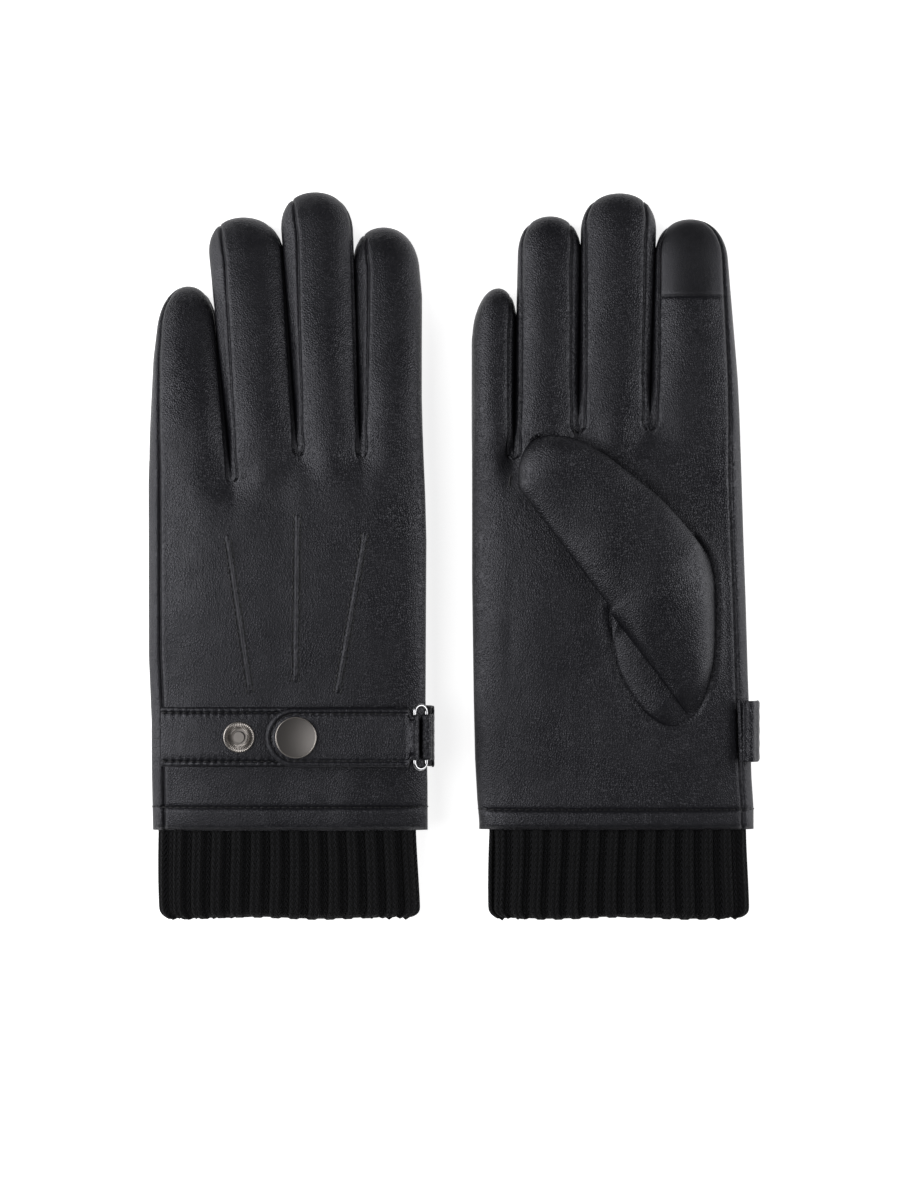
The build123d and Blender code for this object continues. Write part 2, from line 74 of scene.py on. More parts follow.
# In millimetres: the hand's edges as (y, x), each slit from its root to its end, the fingertips,
# how far each gusset's seam stands from the finger's side at its root and at its tip, and how the
# glove sags towards the tips and the cuff
PLANS = {
    "left": {
        "index_x": 36.0,
        "left_edge": [
            (-40, -49.4), (40, -49.6), (64, -50.6), (128, -50.7),
            (152, -49.9), (173, -49.2), (185, -48.0), (202, -46.0),
        ],
        "right_edge": [
            (-40, 51.6), (18, 51.4), (48, 50.7), (106, 51.0), (122, 50.6),
            (136, 50.0), (158, 49.2), (196, 49.2), (207, 48.2), (224, 46.4),
        ],
        "slits": [
            ((-20.0, 126.8), (-27.7, 199.0)),
            ((4.1, 136.8), (-2.2, 217.5)),
            ((27.0, 136.1), (23.7, 218.6)),
        ],
        "tips": (200.1, 225.6, 234.9, 221.9),
        "gusset_reach": {
            "back_left": (5.0, 9.4),
            "back_right": (3.4, 1.4),
            "front_right": (5.6, 6.6),
            "front_left": (5.0, 2.6),
        },
        "tip_sag": -11.5,
        "cuff_sag": -12.2,
        "hem_stitch_y": 8.6,
    },
    "right": {
        "index_x": 33.0,
        "left_edge": [
            (-40, -47.6), (3, -48.1), (11, -48.8), (26, -49.6), (48, -50.1),
            (92, -50.7), (180, -50.7), (188, -49.8), (202, -47.6),
        ],
        "right_edge": [
            (-40, 53.6), (8, 53.0), (19, 52.2), (56, 50.8), (84, 50.0), (106, 49.2),
            (129, 48.5), (144, 48.0), (166, 47.0), (195, 44.8), (226, 42.4),
        ],
        "slits": [
            ((-35.5, 135.7), (-34.0, 199.0)),
            ((-11.8, 145.3), (-10.4, 220.5)),
            ((14.4, 146.5), (17.0, 217.1)),
        ],
        "tips": (199.4, 226.0, 234.5, 224.9),
        "gusset_reach": {
            "back_left": (4.0, 4.0),
            "back_right": (3.0, 2.5),
            "front_right": (5.6, 6.8),
            "front_left": (5.6, 3.4),
        },
        "tip_sag": 5.0,
        "cuff_sag": 5.7,
        "hem_stitch_y": 7.4,
    },
}
BACK_ROOTS = (132.0, 126.8, 136.8, 136.1, 141.0)  # where the slits end on the back, edge to edge
PALM_ROOTS = (138.0, 135.7, 145.3, 146.4, 146.4)  # and on the palm
HAND_THICKNESS = [(-60, 8.0), (0, 8.0), (22, 6.1), (47, 6.1), (84, 8.0), (146, 7.6), (400, 7.6)]
FINGER_THICKNESS = (7.5, 6.7)
TIP_LENGTH = 15.0
LEATHER = 0.9
SEAM_DEPTH = 0.75
CROWDING = 0.85  # how far the columns of a strip gather at its seams
STRAIGHT_END = 112.0  # up to here the rows run straight across, then they turn to the fingers' roots
ROOT_MIDDLE = 138.0  # the roots' mean place
HAND_ROWS, TURNING_ROWS = 118, 20
BACK_COLUMNS, PALM_COLUMNS = 140, 150
joints = {joint["name"]: joint for joint in frame["joints"]}
THUMB_AXIS = (16.7, 85.5)  # on the palm, where the thumb is folded over
THUMB_TURN = radians(37.5)
# The oval seam of the thumb, along and across the thumb's length, from one side of the fold
# round the base to the other
OVAL = [
    (7, -16.0), (3.3, -18.5), (-2.5, -21.8), (-7.8, -24.7), (-13, -27.0), (-18.5, -28.3),
    (-26, -29.2), (-32, -28.9), (-36.5, -27.6), (-40.2, -25.5), (-42.4, -22.4), (-43.1, -18.8),
    (-42.7, -14.6), (-41, -10.0), (-37, -4.2), (-31.8, 1.9), (-22, 10.2), (-14, 16.2),
    (-7, 21.0), (-1, 23.6), (4, 24.3), (9, 24.2),
]


def smooth(u):
    u = np.clip(u, 0.0, 1.0)
    return u * u * (3.0 - 2.0 * u)


def along(points, y):
    return np.interp(y, [p[0] for p in points], [p[1] for p in points])


def eased(points, y):
    """A value at y that eases from each given point to the next."""
    ys = np.array([p[0] for p in points], float)
    values = np.array([p[1] for p in points], float)
    y = np.asarray(y, float)
    k = np.clip(np.searchsorted(ys, y) - 1, 0, len(ys) - 2)
    return values[k] + (values[k + 1] - values[k]) * smooth((y - ys[k]) / (ys[k + 1] - ys[k]))


def curve(points, u):
    """A smooth curve through the given points."""
    xs = np.array([p[0] for p in points], float)
    values = np.array([p[1] for p in points], float)
    slopes = np.gradient(values, xs)
    u = np.clip(np.asarray(u, float), xs[0], xs[-1])
    k = np.clip(np.searchsorted(xs, u) - 1, 0, len(xs) - 2)
    step = xs[k + 1] - xs[k]
    f = (u - xs[k]) / step
    start = values[k] * (2 * f**3 - 3 * f**2 + 1) + slopes[k] * step * (f**3 - 2 * f**2 + f)
    return start + values[k + 1] * (3 * f**2 - 2 * f**3) + slopes[k + 1] * step * (f**3 - f**2)


def oval_seam(count=260):
    """Points along the thumb's oval seam, along and across the thumb."""
    points = np.array(OVAL, float)
    s = np.r_[0, np.cumsum(np.hypot(*np.diff(points, axis=0).T))]
    fine = np.linspace(0, s[-1], count)
    return np.stack([curve(list(zip(s, points[:, k])), fine) for k in (0, 1)], 1)


def oval_relief(x, y):
    """How the palm sinks at the thumb's oval seam and swells a little outside it."""
    dx, dy = x - THUMB_AXIS[0], y - THUMB_AXIS[1]
    along_thumb = -sin(THUMB_TURN) * dx + cos(THUMB_TURN) * dy
    across_thumb = cos(THUMB_TURN) * dx + sin(THUMB_TURN) * dy
    seam = oval_seam()
    away = np.full(np.shape(x), 99.0)
    for u, v in seam:
        away = np.minimum(away, np.hypot(along_thumb - u, across_thumb - v))
    return -0.65 * np.exp(-((away / 0.8) ** 2)) + 0.28 * np.exp(-(((away - 2.4) / 1.5) ** 2))


def slit_lines(side, y):
    """The five lines that bound the fingers across the glove, at y."""
    plan = PLANS[side]
    lines = [along(plan["left_edge"], y)]
    for (x0, y0), (x1, y1) in plan["slits"]:
        lines.append(x0 + (x1 - x0) * (np.asarray(y, float) - y0) / (y1 - y0))
    lines.append(along(plan["right_edge"], y))
    return lines


def ripple(side, x, y):
    """The slow unevenness of soft leather lying slack, in millimetres."""
    k = 1.7 if side == "left" else 0.4
    wave = 0.30 * np.sin(x / 9.7 + k) * np.sin(y / 17.3 + 2 * k)
    wave = wave + 0.22 * np.sin((x + 0.6 * y) / 7.9 + 3 * k) * np.sin((y - 0.3 * x) / 13.1 + k)
    return wave + 0.10 * np.sin((x - 0.8 * y) / 4.3 + 5 * k) * np.sin((y + 0.5 * x) / 6.1)


def hand_middle(side, y):
    """Height of the hand's middle: level over the hand, sagging towards the cuff."""
    return PLANS[side]["cuff_sag"] * (np.maximum(0.0, 28.0 - y) / 60.0) ** 1.35


def finger_middle(side, finger, y):
    tip = PLANS[side]["tips"][finger]
    return PLANS[side]["tip_sag"] * (np.clip(y - 146.0, 0.0, None) / (tip - 146.0)) ** 1.25


def thickness(side, finger, t, x, y, face):
    """Height of the leather over the middle: the hand's one curve parting into four fingers."""
    lines = slit_lines(side, y)
    half = (lines[4] - lines[0]) / 2
    across = np.clip(np.abs((x - (lines[4] + lines[0]) / 2) / half), 0.0, 1.0)
    hand = eased(HAND_THICKNESS, y) * (1 - across**3.6) ** (1 / 2.2)
    roots = BACK_ROOTS if face == "back" else PALM_ROOTS
    root = np.interp(x, [float(np.mean(line)) for line in lines], roots)
    parted = smooth((y - root + 15) / 37)
    sharp = smooth((y - root + 5) / 15)
    full = (1 - np.clip(np.abs(t), 0, 1) ** 2.2) ** (1 / 2.0)
    soft = 0.5 * (1 + np.cos(pi * np.clip(t, -1, 1)))
    outer = (finger == 0) & (t < 0) | (finger == 3) & (t > 0)
    soft = np.where(outer, full, soft)
    share = np.clip((y - ROOT_Y) / 80, 0, 1)
    plump = FINGER_THICKNESS[0] + (FINGER_THICKNESS[1] - FINGER_THICKNESS[0]) * share
    wave = ripple(side, x + (70 if face == "palm" else 0), y) * np.clip(full, 0, 1) ** 2
    return (1 - parted) * hand + parted * plump * ((1 - sharp) * soft + sharp * full) + wave


def finger_section(side, finger, y, samples=61):
    """The outline across one finger at y: over the back from left to right, then under."""
    lines = slit_lines(side, y)
    left, right = float(lines[finger]), float(lines[finger + 1])
    tip = PLANS[side]["tips"][finger]
    into = np.clip((y - (tip - TIP_LENGTH)) / TIP_LENGTH, 0, 1)
    round_off = (1 - into**2.2) ** (1 / 2.2)
    pressed = 0.15 * smooth((y - 126) / 24)
    half = (right - left) / 2 + pressed
    t = np.sin(np.linspace(-pi / 2, pi / 2, samples))
    x_full = (left + right) / 2 + half * t
    x = (left + right) / 2 + half * round_off * t
    middle = hand_middle(side, y) + finger_middle(side, finger, y)
    swell = round_off**0.8
    top = middle + swell * thickness(side, np.full_like(t, finger), t, x_full, y, "back")
    low = middle - swell * thickness(side, np.full_like(t, finger), t, x_full, y, "palm")
    return np.stack([np.r_[x, x[::-1], x[:1]], np.r_[top, low[::-1], top[:1]]], 1), samples


def hand_section(side, y, samples=181):
    """The outline across the whole hand at y."""
    lines = [float(line) for line in slit_lines(side, y)]
    t = np.sin(np.linspace(-pi / 2, pi / 2, samples))
    x = (lines[0] + lines[4]) / 2 + (lines[4] - lines[0]) / 2 * t
    finger = np.clip(np.searchsorted(lines, x) - 1, 0, 3)
    left, right = np.array(lines)[finger], np.array(lines)[finger + 1]
    t_finger = (x - (left + right) / 2) / ((right - left) / 2)
    middle = hand_middle(side, y)
    top = middle + thickness(side, finger, t_finger, x, y, "back")
    low = middle - thickness(side, finger, t_finger, x, y, "palm")
    return np.stack([np.r_[x, x[::-1], x[:1]], np.r_[top, low[::-1], top[:1]]], 1), samples


def lengths(outline):
    return np.r_[0, np.cumsum(np.hypot(*np.diff(outline, axis=0).T))]


def edge_reach(side, finger, outline, samples, s, y):
    """Where the two long side seams lie: on the back of the little finger's side, and under the
    index side."""
    left, right = outline[0, 0], outline[samples - 1, 0]
    width = right - left
    full = 24.0 if finger is not None else 100.0
    shrink = min(1.0, width / full)
    if finger in (None, 0):
        inset = np.interp(y, [0, 130, 185, 200], [4.5, 4.3, 1.7, 1.1]) * shrink
        on_back = np.interp(left + inset, outline[:samples, 0], s[:samples])
    else:
        on_back = None
    if finger in (None, 3):
        inset = np.interp(y, [0, 60, 130, 180, 200, 222], [4.4, 4.4, 4.6, 3.0, 2.3, 1.4]) * shrink
        low = slice(samples, 2 * samples)
        under = np.interp(-(right - inset), -outline[low, 0], s[low])
    else:
        under = None
    return on_back, under


def crowd(count):
    """Shares from 0 to 1 that crowd towards both ends, where the seams need them."""
    u = np.linspace(0, 1, count)
    return u - CROWDING / (2 * pi) * np.sin(2 * pi * u)


def seam_relief(distance, y):
    """How a seam draws the leather in, with the soft edge and the small puckers beside it."""
    groove = -SEAM_DEPTH * np.exp(-((distance / 0.6) ** 2))
    edge = 0.13 * np.exp(-(((distance - 1.8) / 1.1) ** 2))
    pucker = 0.07 * np.sin(2 * pi * y / 3.1) * np.exp(-((distance / 2.2) ** 2))
    return groove + edge + pucker


def strip(side, section, seams, ys, count, sink=0.0):
    """Points of a strip of leather between two seams, for each y, and their seam distances."""
    rows = []
    for y in ys:
        outline, samples = section(y)
        s = lengths(outline)
        start, end = seams(outline, samples, s, y)
        d = start + (end - start) * crowd(count)
        tangent = np.gradient(outline, axis=0)
        tangent /= np.maximum(np.hypot(tangent[:, 0], tangent[:, 1]), 1e-9)[:, None]
        place = np.mod(d, s[-1])
        x = np.interp(place, s, outline[:, 0])
        z = np.interp(place, s, outline[:, 1])
        nx = np.interp(place, s, -tangent[:, 1])
        nz = np.interp(place, s, tangent[:, 0])
        near = min(1.0, (end - start) / 4) * float(smooth((s[-1] - 10) / 24))
        rise = near * (seam_relief(d - start, y) + seam_relief(end - d, y))
        bow = np.sin(pi * np.clip((d - start) / max(end - start, 0.01), 0, 1)) ** 0.5
        deep = sink * near * float(np.interp(y, [150, 215], [1.0, 0.4]))
        rise -= deep * bow * np.clip(np.abs(nz), 0, 1) ** 2 * min(1.0, max(0.0, (end - start) - 3) / 4)
        rows.append(np.stack([x + nx * rise, np.full(count, float(y)), z + nz * rise], 1))
    return np.array(rows)


def resample(grid, ys, wanted):
    """The strip's points at other y values, which may differ from column to column."""
    out = np.empty((wanted.shape[0], grid.shape[1], 3))
    for j in range(grid.shape[1]):
        for axis in range(3):
            out[:, j, axis] = np.interp(wanted[:, j], ys, grid[:, j, axis])
        out[:, j, 1] = wanted[:, j]
    return out


def root_line(side, x, z, y=136.0):
    """Where the hand ends and the fingers start, over the back and under the palm."""
    lines = [float(line) for line in slit_lines(side, y)]
    back = np.interp(x, lines, BACK_ROOTS)
    palm = np.interp(x, lines, PALM_ROOTS)
    over = smooth(0.5 + z / 9.0)
    return over * back + (1 - over) * palm


def to_world(side, points):
    """Points in a glove's own frame, in millimetres, moved to where the glove lies."""
    hinge = np.array(joints[f"{side}_index_curl"]["pos_m"])
    flip = 1 if side == "left" else -1
    origin = hinge - MM * np.array([PLANS[side]["index_x"], ROOT_Y, flip * PALM_LEVEL])
    return origin + MM * np.asarray(points, float) * np.array([1, 1, flip])


def deselect():
    if bpy.context.object and bpy.context.object.mode != "OBJECT":
        bpy.ops.object.mode_set(mode="OBJECT")
    bpy.ops.object.select_all(action="DESELECT")


def grid_piece(name, side, points):
    """A sheet of leather: a grid primitive whose corners are laid on the given rows of points."""
    if side == "right":
        points = points[:, ::-1]
    rows, columns = points.shape[:2]
    deselect()
    bpy.ops.mesh.primitive_grid_add(x_subdivisions=columns - 1, y_subdivisions=rows - 1, size=1)
    piece = bpy.context.object
    piece.name = name
    piece.data.vertices.foreach_set("co", to_world(side, points).reshape(-1).astype(np.float32))
    piece.data.update()
    return piece


def apply_modifier(piece, kind, **settings):
    deselect()
    bpy.context.view_layer.objects.active = piece
    piece.select_set(True)
    modifier = piece.modifiers.new(kind.title(), kind)
    for key, value in settings.items():
        setattr(modifier, key, value)
    bpy.ops.object.modifier_apply(modifier=modifier.name)


def weld(piece, distance=0.00002):
    deselect()
    bpy.context.view_layer.objects.active = piece
    piece.select_set(True)
    bpy.ops.object.mode_set(mode="EDIT")
    bpy.ops.mesh.select_all(action="SELECT")
    bpy.ops.mesh.remove_doubles(threshold=distance)
    bpy.ops.object.mode_set(mode="OBJECT")


def soften(piece, angle=50):
    deselect()
    bpy.context.view_layer.objects.active = piece
    piece.select_set(True)
    bpy.ops.object.shade_smooth_by_angle(angle=radians(angle))


def leather_wall(piece):
    """Gives a sheet its thickness, inwards, and shades it as one soft surface."""
    weld(piece)
    apply_modifier(piece, "SOLIDIFY", thickness=LEATHER * MM, offset=-1.0)
    soften(piece)


def linear(hex_colour):
    """An sRGB hex colour as the linear values that shaders take."""
    channels = [int(hex_colour[i : i + 2], 16) / 255 for i in (1, 3, 5)]
    return [c / 12.92 if c <= 0.04045 else ((c + 0.055) / 1.055) ** 2.4 for c in channels] + [1.0]


def node(material, kind, inputs=None, **settings):
    """Adds one shader node, with its settings, its values and its links."""
    added = material.node_tree.nodes.new(kind)
    for key, value in settings.items():
        setattr(added, key, value)
    for key, value in (inputs or {}).items():
        if isinstance(value, bpy.types.NodeSocket):
            material.node_tree.links.new(value, added.inputs[key])
        else:
            added.inputs[key].default_value = value
    return added


def new_material(name):
    material = bpy.data.materials.new(name)
    material.use_nodes = True
    material.node_tree.nodes.clear()
    return material


def finish_material(material, shader):
    node(material, "ShaderNodeOutputMaterial", {"Surface": shader.outputs[0]})
    return material


def noise(material, place, scale, detail=2.0, **inputs):
    inputs = {"Vector": place, "Scale": scale, "Detail": detail} | inputs
    return node(material, "ShaderNodeTexNoise", inputs).outputs


def maths(material, operation, *values):
    return node(material, "ShaderNodeMath", dict(enumerate(values)), operation=operation).outputs[0]


def bump(material, height, strength, distance, below=None):
    """Relief laid over the relief below it, if there is any."""
    inputs = {"Height": height, "Strength": strength, "Distance": distance}
    if below is not None:
        inputs["Normal"] = below
    return node(material, "ShaderNodeBump", inputs).outputs[0]


# Drum-dyed nappa sheepskin, finished semi-matt. It gives the eye fine pebbles under a millimetre
# across with painted shade in the grooves between them, faint creases, soft highlights of slightly
# uneven sheen, and a black that leans to blue.
def nappa(name, colour, pebble, relief, roughness):
    leather = new_material(name)
    place = node(leather, "ShaderNodeTexCoord").outputs["Object"]
    warp = noise(leather, place, 900.0)["Color"]
    bend = {0: warp, 1: (0.0005, 0.0005, 0.0005)}
    bent = node(leather, "ShaderNodeVectorMath", bend, operation="MULTIPLY").outputs[0]
    grain_place = node(leather, "ShaderNodeVectorMath", {0: place, 1: bent}, operation="ADD").outputs[0]
    grain = {"Vector": grain_place, "Scale": 1 / (pebble * MM)}
    cells = node(leather, "ShaderNodeTexVoronoi", grain, feature="DISTANCE_TO_EDGE").outputs["Distance"]
    domed = node(leather, "ShaderNodeMapRange", {"Value": cells, "From Max": 0.4}).outputs[0]
    creases = noise(leather, place, 260.0, Roughness=0.4)["Fac"]
    height = maths(leather, "MULTIPLY_ADD", creases, 0.6, domed)
    folds = noise(leather, place, 60.0, 1.0, Distortion=0.2)["Fac"]
    soft = bump(leather, folds, 0.4, 0.0012)
    slow = noise(leather, place, 45.0, 3.0)["Fac"]
    sheen = {"Value": slow, "From Min": 0.3, "From Max": 0.7}
    sheen |= {"To Min": roughness - 0.07, "To Max": roughness + 0.07}
    # Painted shade: the colour is darkened to 0.55 in the grooves between the pebbles, where shade falls.
    groove_painted_shade = [c * 0.55 for c in linear(colour)[:3]] + [1.0]
    shades = {"Factor": domed, "A": groove_painted_shade, "B": linear(colour)}
    inputs = {
        "Base Color": node(leather, "ShaderNodeMix", shades, data_type="RGBA").outputs["Result"],
        "Roughness": node(leather, "ShaderNodeMapRange", sheen).outputs[0],
        "Normal": bump(leather, height, relief, 0.00012, soft),
        "IOR": 1.48,
        "Specular Tint": (0.92, 0.92, 1.0, 1.0),
    }
    return finish_material(leather, node(leather, "ShaderNodeBsdfPrincipled", inputs))


nappa_black = nappa("black nappa leather", "#0e0e13", 0.8, 0.8, 0.40)


def hem_relief(side, y):
    """The hem is folded in: its edge rolls under and the row of stitches draws it down."""
    stitch = PLANS[side]["hem_stitch_y"]
    roll = -1.6 * np.exp(-((y / 0.75) ** 2))
    drawn = -0.6 * np.exp(-(((y - stitch) / 0.6) ** 2))
    return roll + drawn + 0.35 * smooth((stitch - y) / 1.5) * smooth(y / 2)


def hand_rows(side):
    stitch = PLANS[side]["hem_stitch_y"]
    edge = [0.0, 0.35, 0.8, 1.4, 2.2, 3.4, 4.8]
    about_stitches = [stitch + away for away in (-2.2, -1.2, -0.6, 0.0, 0.6, 1.2, 2.2)]
    return np.array(edge + about_stitches + list(np.linspace(stitch + 3.6, STRAIGHT_END, HAND_ROWS)))


def hand_panel(side, name, start_seam, end_seam, count):
    ys = np.r_[hand_rows(side), np.linspace(STRAIGHT_END + 1, 149.0, 30)]

    def seams(outline, samples, s, y):
        on_back, under = edge_reach(side, None, outline, samples, s, y)
        places = {"back": on_back, "under": under, "back_again": on_back + s[-1]}
        return places[start_seam], places[end_seam]

    grid = strip(side, lambda y: hand_section(side, y), seams, ys, count)
    relief = hem_relief(side, ys)[:, None]
    middle = hand_middle(side, ys)[:, None]
    grid[:, :, 2] += relief * np.clip((grid[:, :, 2] - middle) / 5.0, -1, 1)
    under = np.clip((middle - grid[:, :, 2]) / 5.0, 0, 1)
    grid[:, :, 2] -= under * oval_relief(grid[:, :, 0], grid[:, :, 1])
    row = grid[np.argmin(np.abs(ys - ROOT_MIDDLE))]
    ends = root_line(side, row[:, 0], row[:, 2])
    base = hand_rows(side)
    share = np.linspace(0, 1, TURNING_ROWS + 1)[1:, None]
    turning = STRAIGHT_END + (ends - STRAIGHT_END)[None, :] * share
    wanted = np.vstack([np.repeat(base[:, None], count, 1), turning])
    piece = grid_piece(name, side, resample(grid, ys, wanted))
    leather_wall(piece)
    piece.data.materials.append(nappa_black)
    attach(piece, f"{side}_hand")
    return piece


for side in PLANS:
    back = hand_panel(side, f"{side}_back_panel", "back", "under", BACK_COLUMNS)
    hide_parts(f"{side}_hand_back")
    palm = hand_panel(side, f"{side}_palm_panel", "under", "back_again", PALM_COLUMNS)
    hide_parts(f"{side}_hand_palm")

# ---- Fingers
# Each finger is a back strip and a front strip of the same nappa, joined by narrow side gussets.
# The gussets start in the slits between the fingers and taper out just short of the tips. The
# index finger's back strip and the little finger's front strip wrap over the glove's edges.

TUCK = 1.6  # a finger starts this far under the hand's edge
SHOWN_TIP = 3.2  # the gussets end this far below the tip
PATCH_SEAM_Y = 195.8
STRIP_COLUMNS, PATCH_COLUMNS = 30, 26
STRIP_ROWS, ROUND_ROWS = 44, 17
GUSSET_SINK = 2.0  # how deep a gusset lies between its seams

# The patch's leather carries a thin coating: it gives the eye a finer, flatter grain.
nappa_patch = nappa("touch-screen nappa leather", "#101013", 0.45, 0.35, 0.40)


def finger_ys(side, finger):
    tip = PLANS[side]["tips"][finger]
    round_end = tip - TIP_LENGTH + TIP_LENGTH * np.sin(np.linspace(0.08, pi / 2, 26))
    return np.r_[np.linspace(STRAIGHT_END, tip - TIP_LENGTH, 70), round_end]


def gusset_reach(side, finger, key, y):
    """How far a gusset's seam stands from the finger's side, along the leather."""
    plan = PLANS[side]
    slit = finger if "left" in key else finger + 1
    root = (BACK_ROOTS if key.startswith("back") else PALM_ROOTS)[slit]
    end = plan["tips"][finger] - SHOWN_TIP
    taper = np.sqrt(np.clip(1 - (np.clip(y - (end - 15), 0, 15) / 15) ** 2, 0, 1))
    at_root, at_tip = plan["gusset_reach"][key]
    reach = at_root + (at_tip - at_root) * np.clip((y - root) / (end - root), 0, 1)
    opening = np.sqrt(np.clip(1 - (1 - np.clip((y - root + 0.5) / 6, 0, 1)) ** 2, 0, 1))
    return reach * (0.55 + 0.45 * smooth((y - root) / 22)) * opening * taper


def finger_seams(side, finger, outline, samples, s, y):
    """Arc lengths of a finger's four seams, in order round it."""
    on_back, under = edge_reach(side, finger, outline, samples, s, y)
    reach = {key: float(gusset_reach(side, finger, key, y)) for key in PLANS[side]["gusset_reach"]}
    wall_right = (s[samples] - s[samples - 1]) / 2
    closing = smooth((y - (PLANS[side]["tips"][finger] - SHOWN_TIP - 1)) / 1.0)
    back_left = on_back if finger == 0 else reach["back_left"]
    back_right = s[samples - 1] - reach["back_right"] + wall_right * closing
    front_right = under if finger == 3 else s[samples] + reach["front_right"] - wall_right * closing
    front_left = s[2 * samples - 1] - reach["front_left"]
    return {
        "back_left": back_left,
        "back_right": under if finger == 3 else back_right,
        "front_right": front_right,
        "front_left": s[-1] + on_back if finger == 0 else front_left,
        "round": s[-1],
    }


def round_rows(tip):
    return tip - TIP_LENGTH * (1 - np.sin(np.linspace(0, pi / 2, ROUND_ROWS)[1:]))


def finger_rows(side, finger, starts):
    """Rows of a strip from the root line to the tip, close together on the round end."""
    tip = PLANS[side]["tips"][finger]
    share = np.linspace(0, 1, STRIP_ROWS)[:, None]
    straight = starts[None, :] + (tip - TIP_LENGTH - starts[None, :]) * share
    round_end = round_rows(tip)
    return np.vstack([straight, np.repeat(round_end[:, None], starts.size, 1)])


def finger_strip(
    side,
    finger,
    name,
    order,
    node_name,
    count=STRIP_COLUMNS,
    rows=None,
    sink=0.0,
    leather=nappa_black,
    crossed=False,
):
    """One strip of a finger between two of its seams. A crossed one meets the patch's seam."""
    def seams(outline, samples, s, y):
        places = finger_seams(side, finger, outline, samples, s, y)
        start, end = places[order[0]], places[order[1]]
        return start, end + (places["round"] if end < start else 0)

    ys = finger_ys(side, finger)
    grid = strip(side, lambda y: finger_section(side, finger, y), seams, ys, count, sink)
    row = grid[np.argmin(np.abs(ys - ROOT_MIDDLE))]
    starts = root_line(side, row[:, 0], row[:, 2] - hand_middle(side, ROOT_MIDDLE))
    wanted = finger_rows(side, finger, starts - TUCK)
    if rows is not None:
        wanted = rows(wanted)
    points = resample(grid, ys, wanted)
    outward = np.clip((points[:, :, 2] - hand_middle(side, ROOT_MIDDLE)) / 3.0, -1, 1)
    points[:, :, 2] -= 0.3 * outward * smooth((starts[None, :] - points[:, :, 1]) / TUCK)
    if crossed:
        points[:, :, 2] += 0.45 * np.exp(-(((points[:, :, 1] - PATCH_SEAM_Y) / 0.6) ** 2))
    tip = PLANS[side]["tips"][finger]
    at_tip = points[:, :, 1] > tip - 1e-6
    middle_x = np.mean(slit_lines(side, tip)[finger : finger + 2])
    points[at_tip] = [middle_x, tip, finger_middle(side, finger, tip)]
    piece = grid_piece(name, side, points)
    leather_wall(piece)
    piece.data.materials.append(leather)
    bend_finger(piece)
    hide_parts(node_name)
    return piece


def bend_finger(piece):
    """Bakes the piece's placement into its points."""
    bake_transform(piece)


def below_patch(wanted):
    """Rows of the index finger's front, close together at the seam of the patch."""
    share = np.linspace(0, 1, STRIP_ROWS)[:, None]
    rows = wanted[0][None, :] + (PATCH_SEAM_Y - 2.4 - wanted[0][None, :]) * share
    ends = PATCH_SEAM_Y - np.array([1.6, 1.0, 0.6, 0.3, 0.0])
    return np.vstack([rows, np.repeat(ends[:, None], wanted.shape[1], 1)])


def short_of_tip(side, finger):
    """Rows of a gusset, which ends in a point a little below the tip."""
    end = PLANS[side]["tips"][finger] - SHOWN_TIP - 0.15

    def rows(wanted):
        kept = wanted[wanted.max(axis=1) < end - 0.4]
        return np.vstack([kept, np.full((1, wanted.shape[1]), end)])

    return rows


def patch_rows(side):
    """Rows of the patch, from its seam to the tip."""
    tip = PLANS[side]["tips"][3]
    starts = PATCH_SEAM_Y + np.array([0.0, 0.3, 0.6, 1.0, 1.6, 2.4])
    middle = np.linspace(PATCH_SEAM_Y + 4.0, tip - TIP_LENGTH, 8)
    rows = np.r_[starts, middle, round_rows(tip)]
    return lambda wanted: np.repeat(rows[:, None], wanted.shape[1], 1)


for side in PLANS:
    for finger, name in enumerate(FINGERS):
        label = f"{side}_{name}"
        finger_strip(side, finger, f"{label}_back_strip", ("back_left", "back_right"), f"{label}_back")
        if name == "index":
            seams = ("back_right", "front_left")
            crossing = {"count": PATCH_COLUMNS, "crossed": True}
            finger_strip(
                side, finger, f"{label}_front_strip", seams, f"{label}_front", rows=below_patch, **crossing
            )
            patch = finger_strip(
                side,
                finger,
                f"{label}_patch",
                seams,
                f"{label}_touch_patch",
                rows=patch_rows(side),
                leather=nappa_patch,
                **crossing,
            )
        else:
            seams = ("front_right", "front_left")
            finger_strip(side, finger, f"{label}_front_strip", seams, f"{label}_front")
        for gusset, seams, without in (
            ("right", ("back_right", "front_right"), "index"),
            ("left", ("front_left", "back_left"), "little"),
        ):
            if name != without:
                finger_strip(
                    side,
                    finger,
                    f"{label}_{gusset}_gusset",
                    seams,
                    f"{label}_gussets",
                    rows=short_of_tip(side, finger),
                    sink=GUSSET_SINK,
                )

# ---- Linings
# Each part of the glove has a thin brushed knit lining of its own, laid just inside the leather.

LINING_INSET = 1.15

# Brushed fleece: it gives the eye a dull, fuzzy black without highlights.
brushed_knit = new_material("black brushed fleece")
fleece_place = node(brushed_knit, "ShaderNodeTexCoord").outputs["Object"]
fleece = {
    "Base Color": linear("#17171a"),
    "Roughness": 0.95,
    "Normal": bump(brushed_knit, noise(brushed_knit, fleece_place, 1400.0, 4.0)["Fac"], 0.8, 0.0004),
    "Sheen Weight": 0.3,
}
finish_material(brushed_knit, node(brushed_knit, "ShaderNodeBsdfPrincipled", fleece))


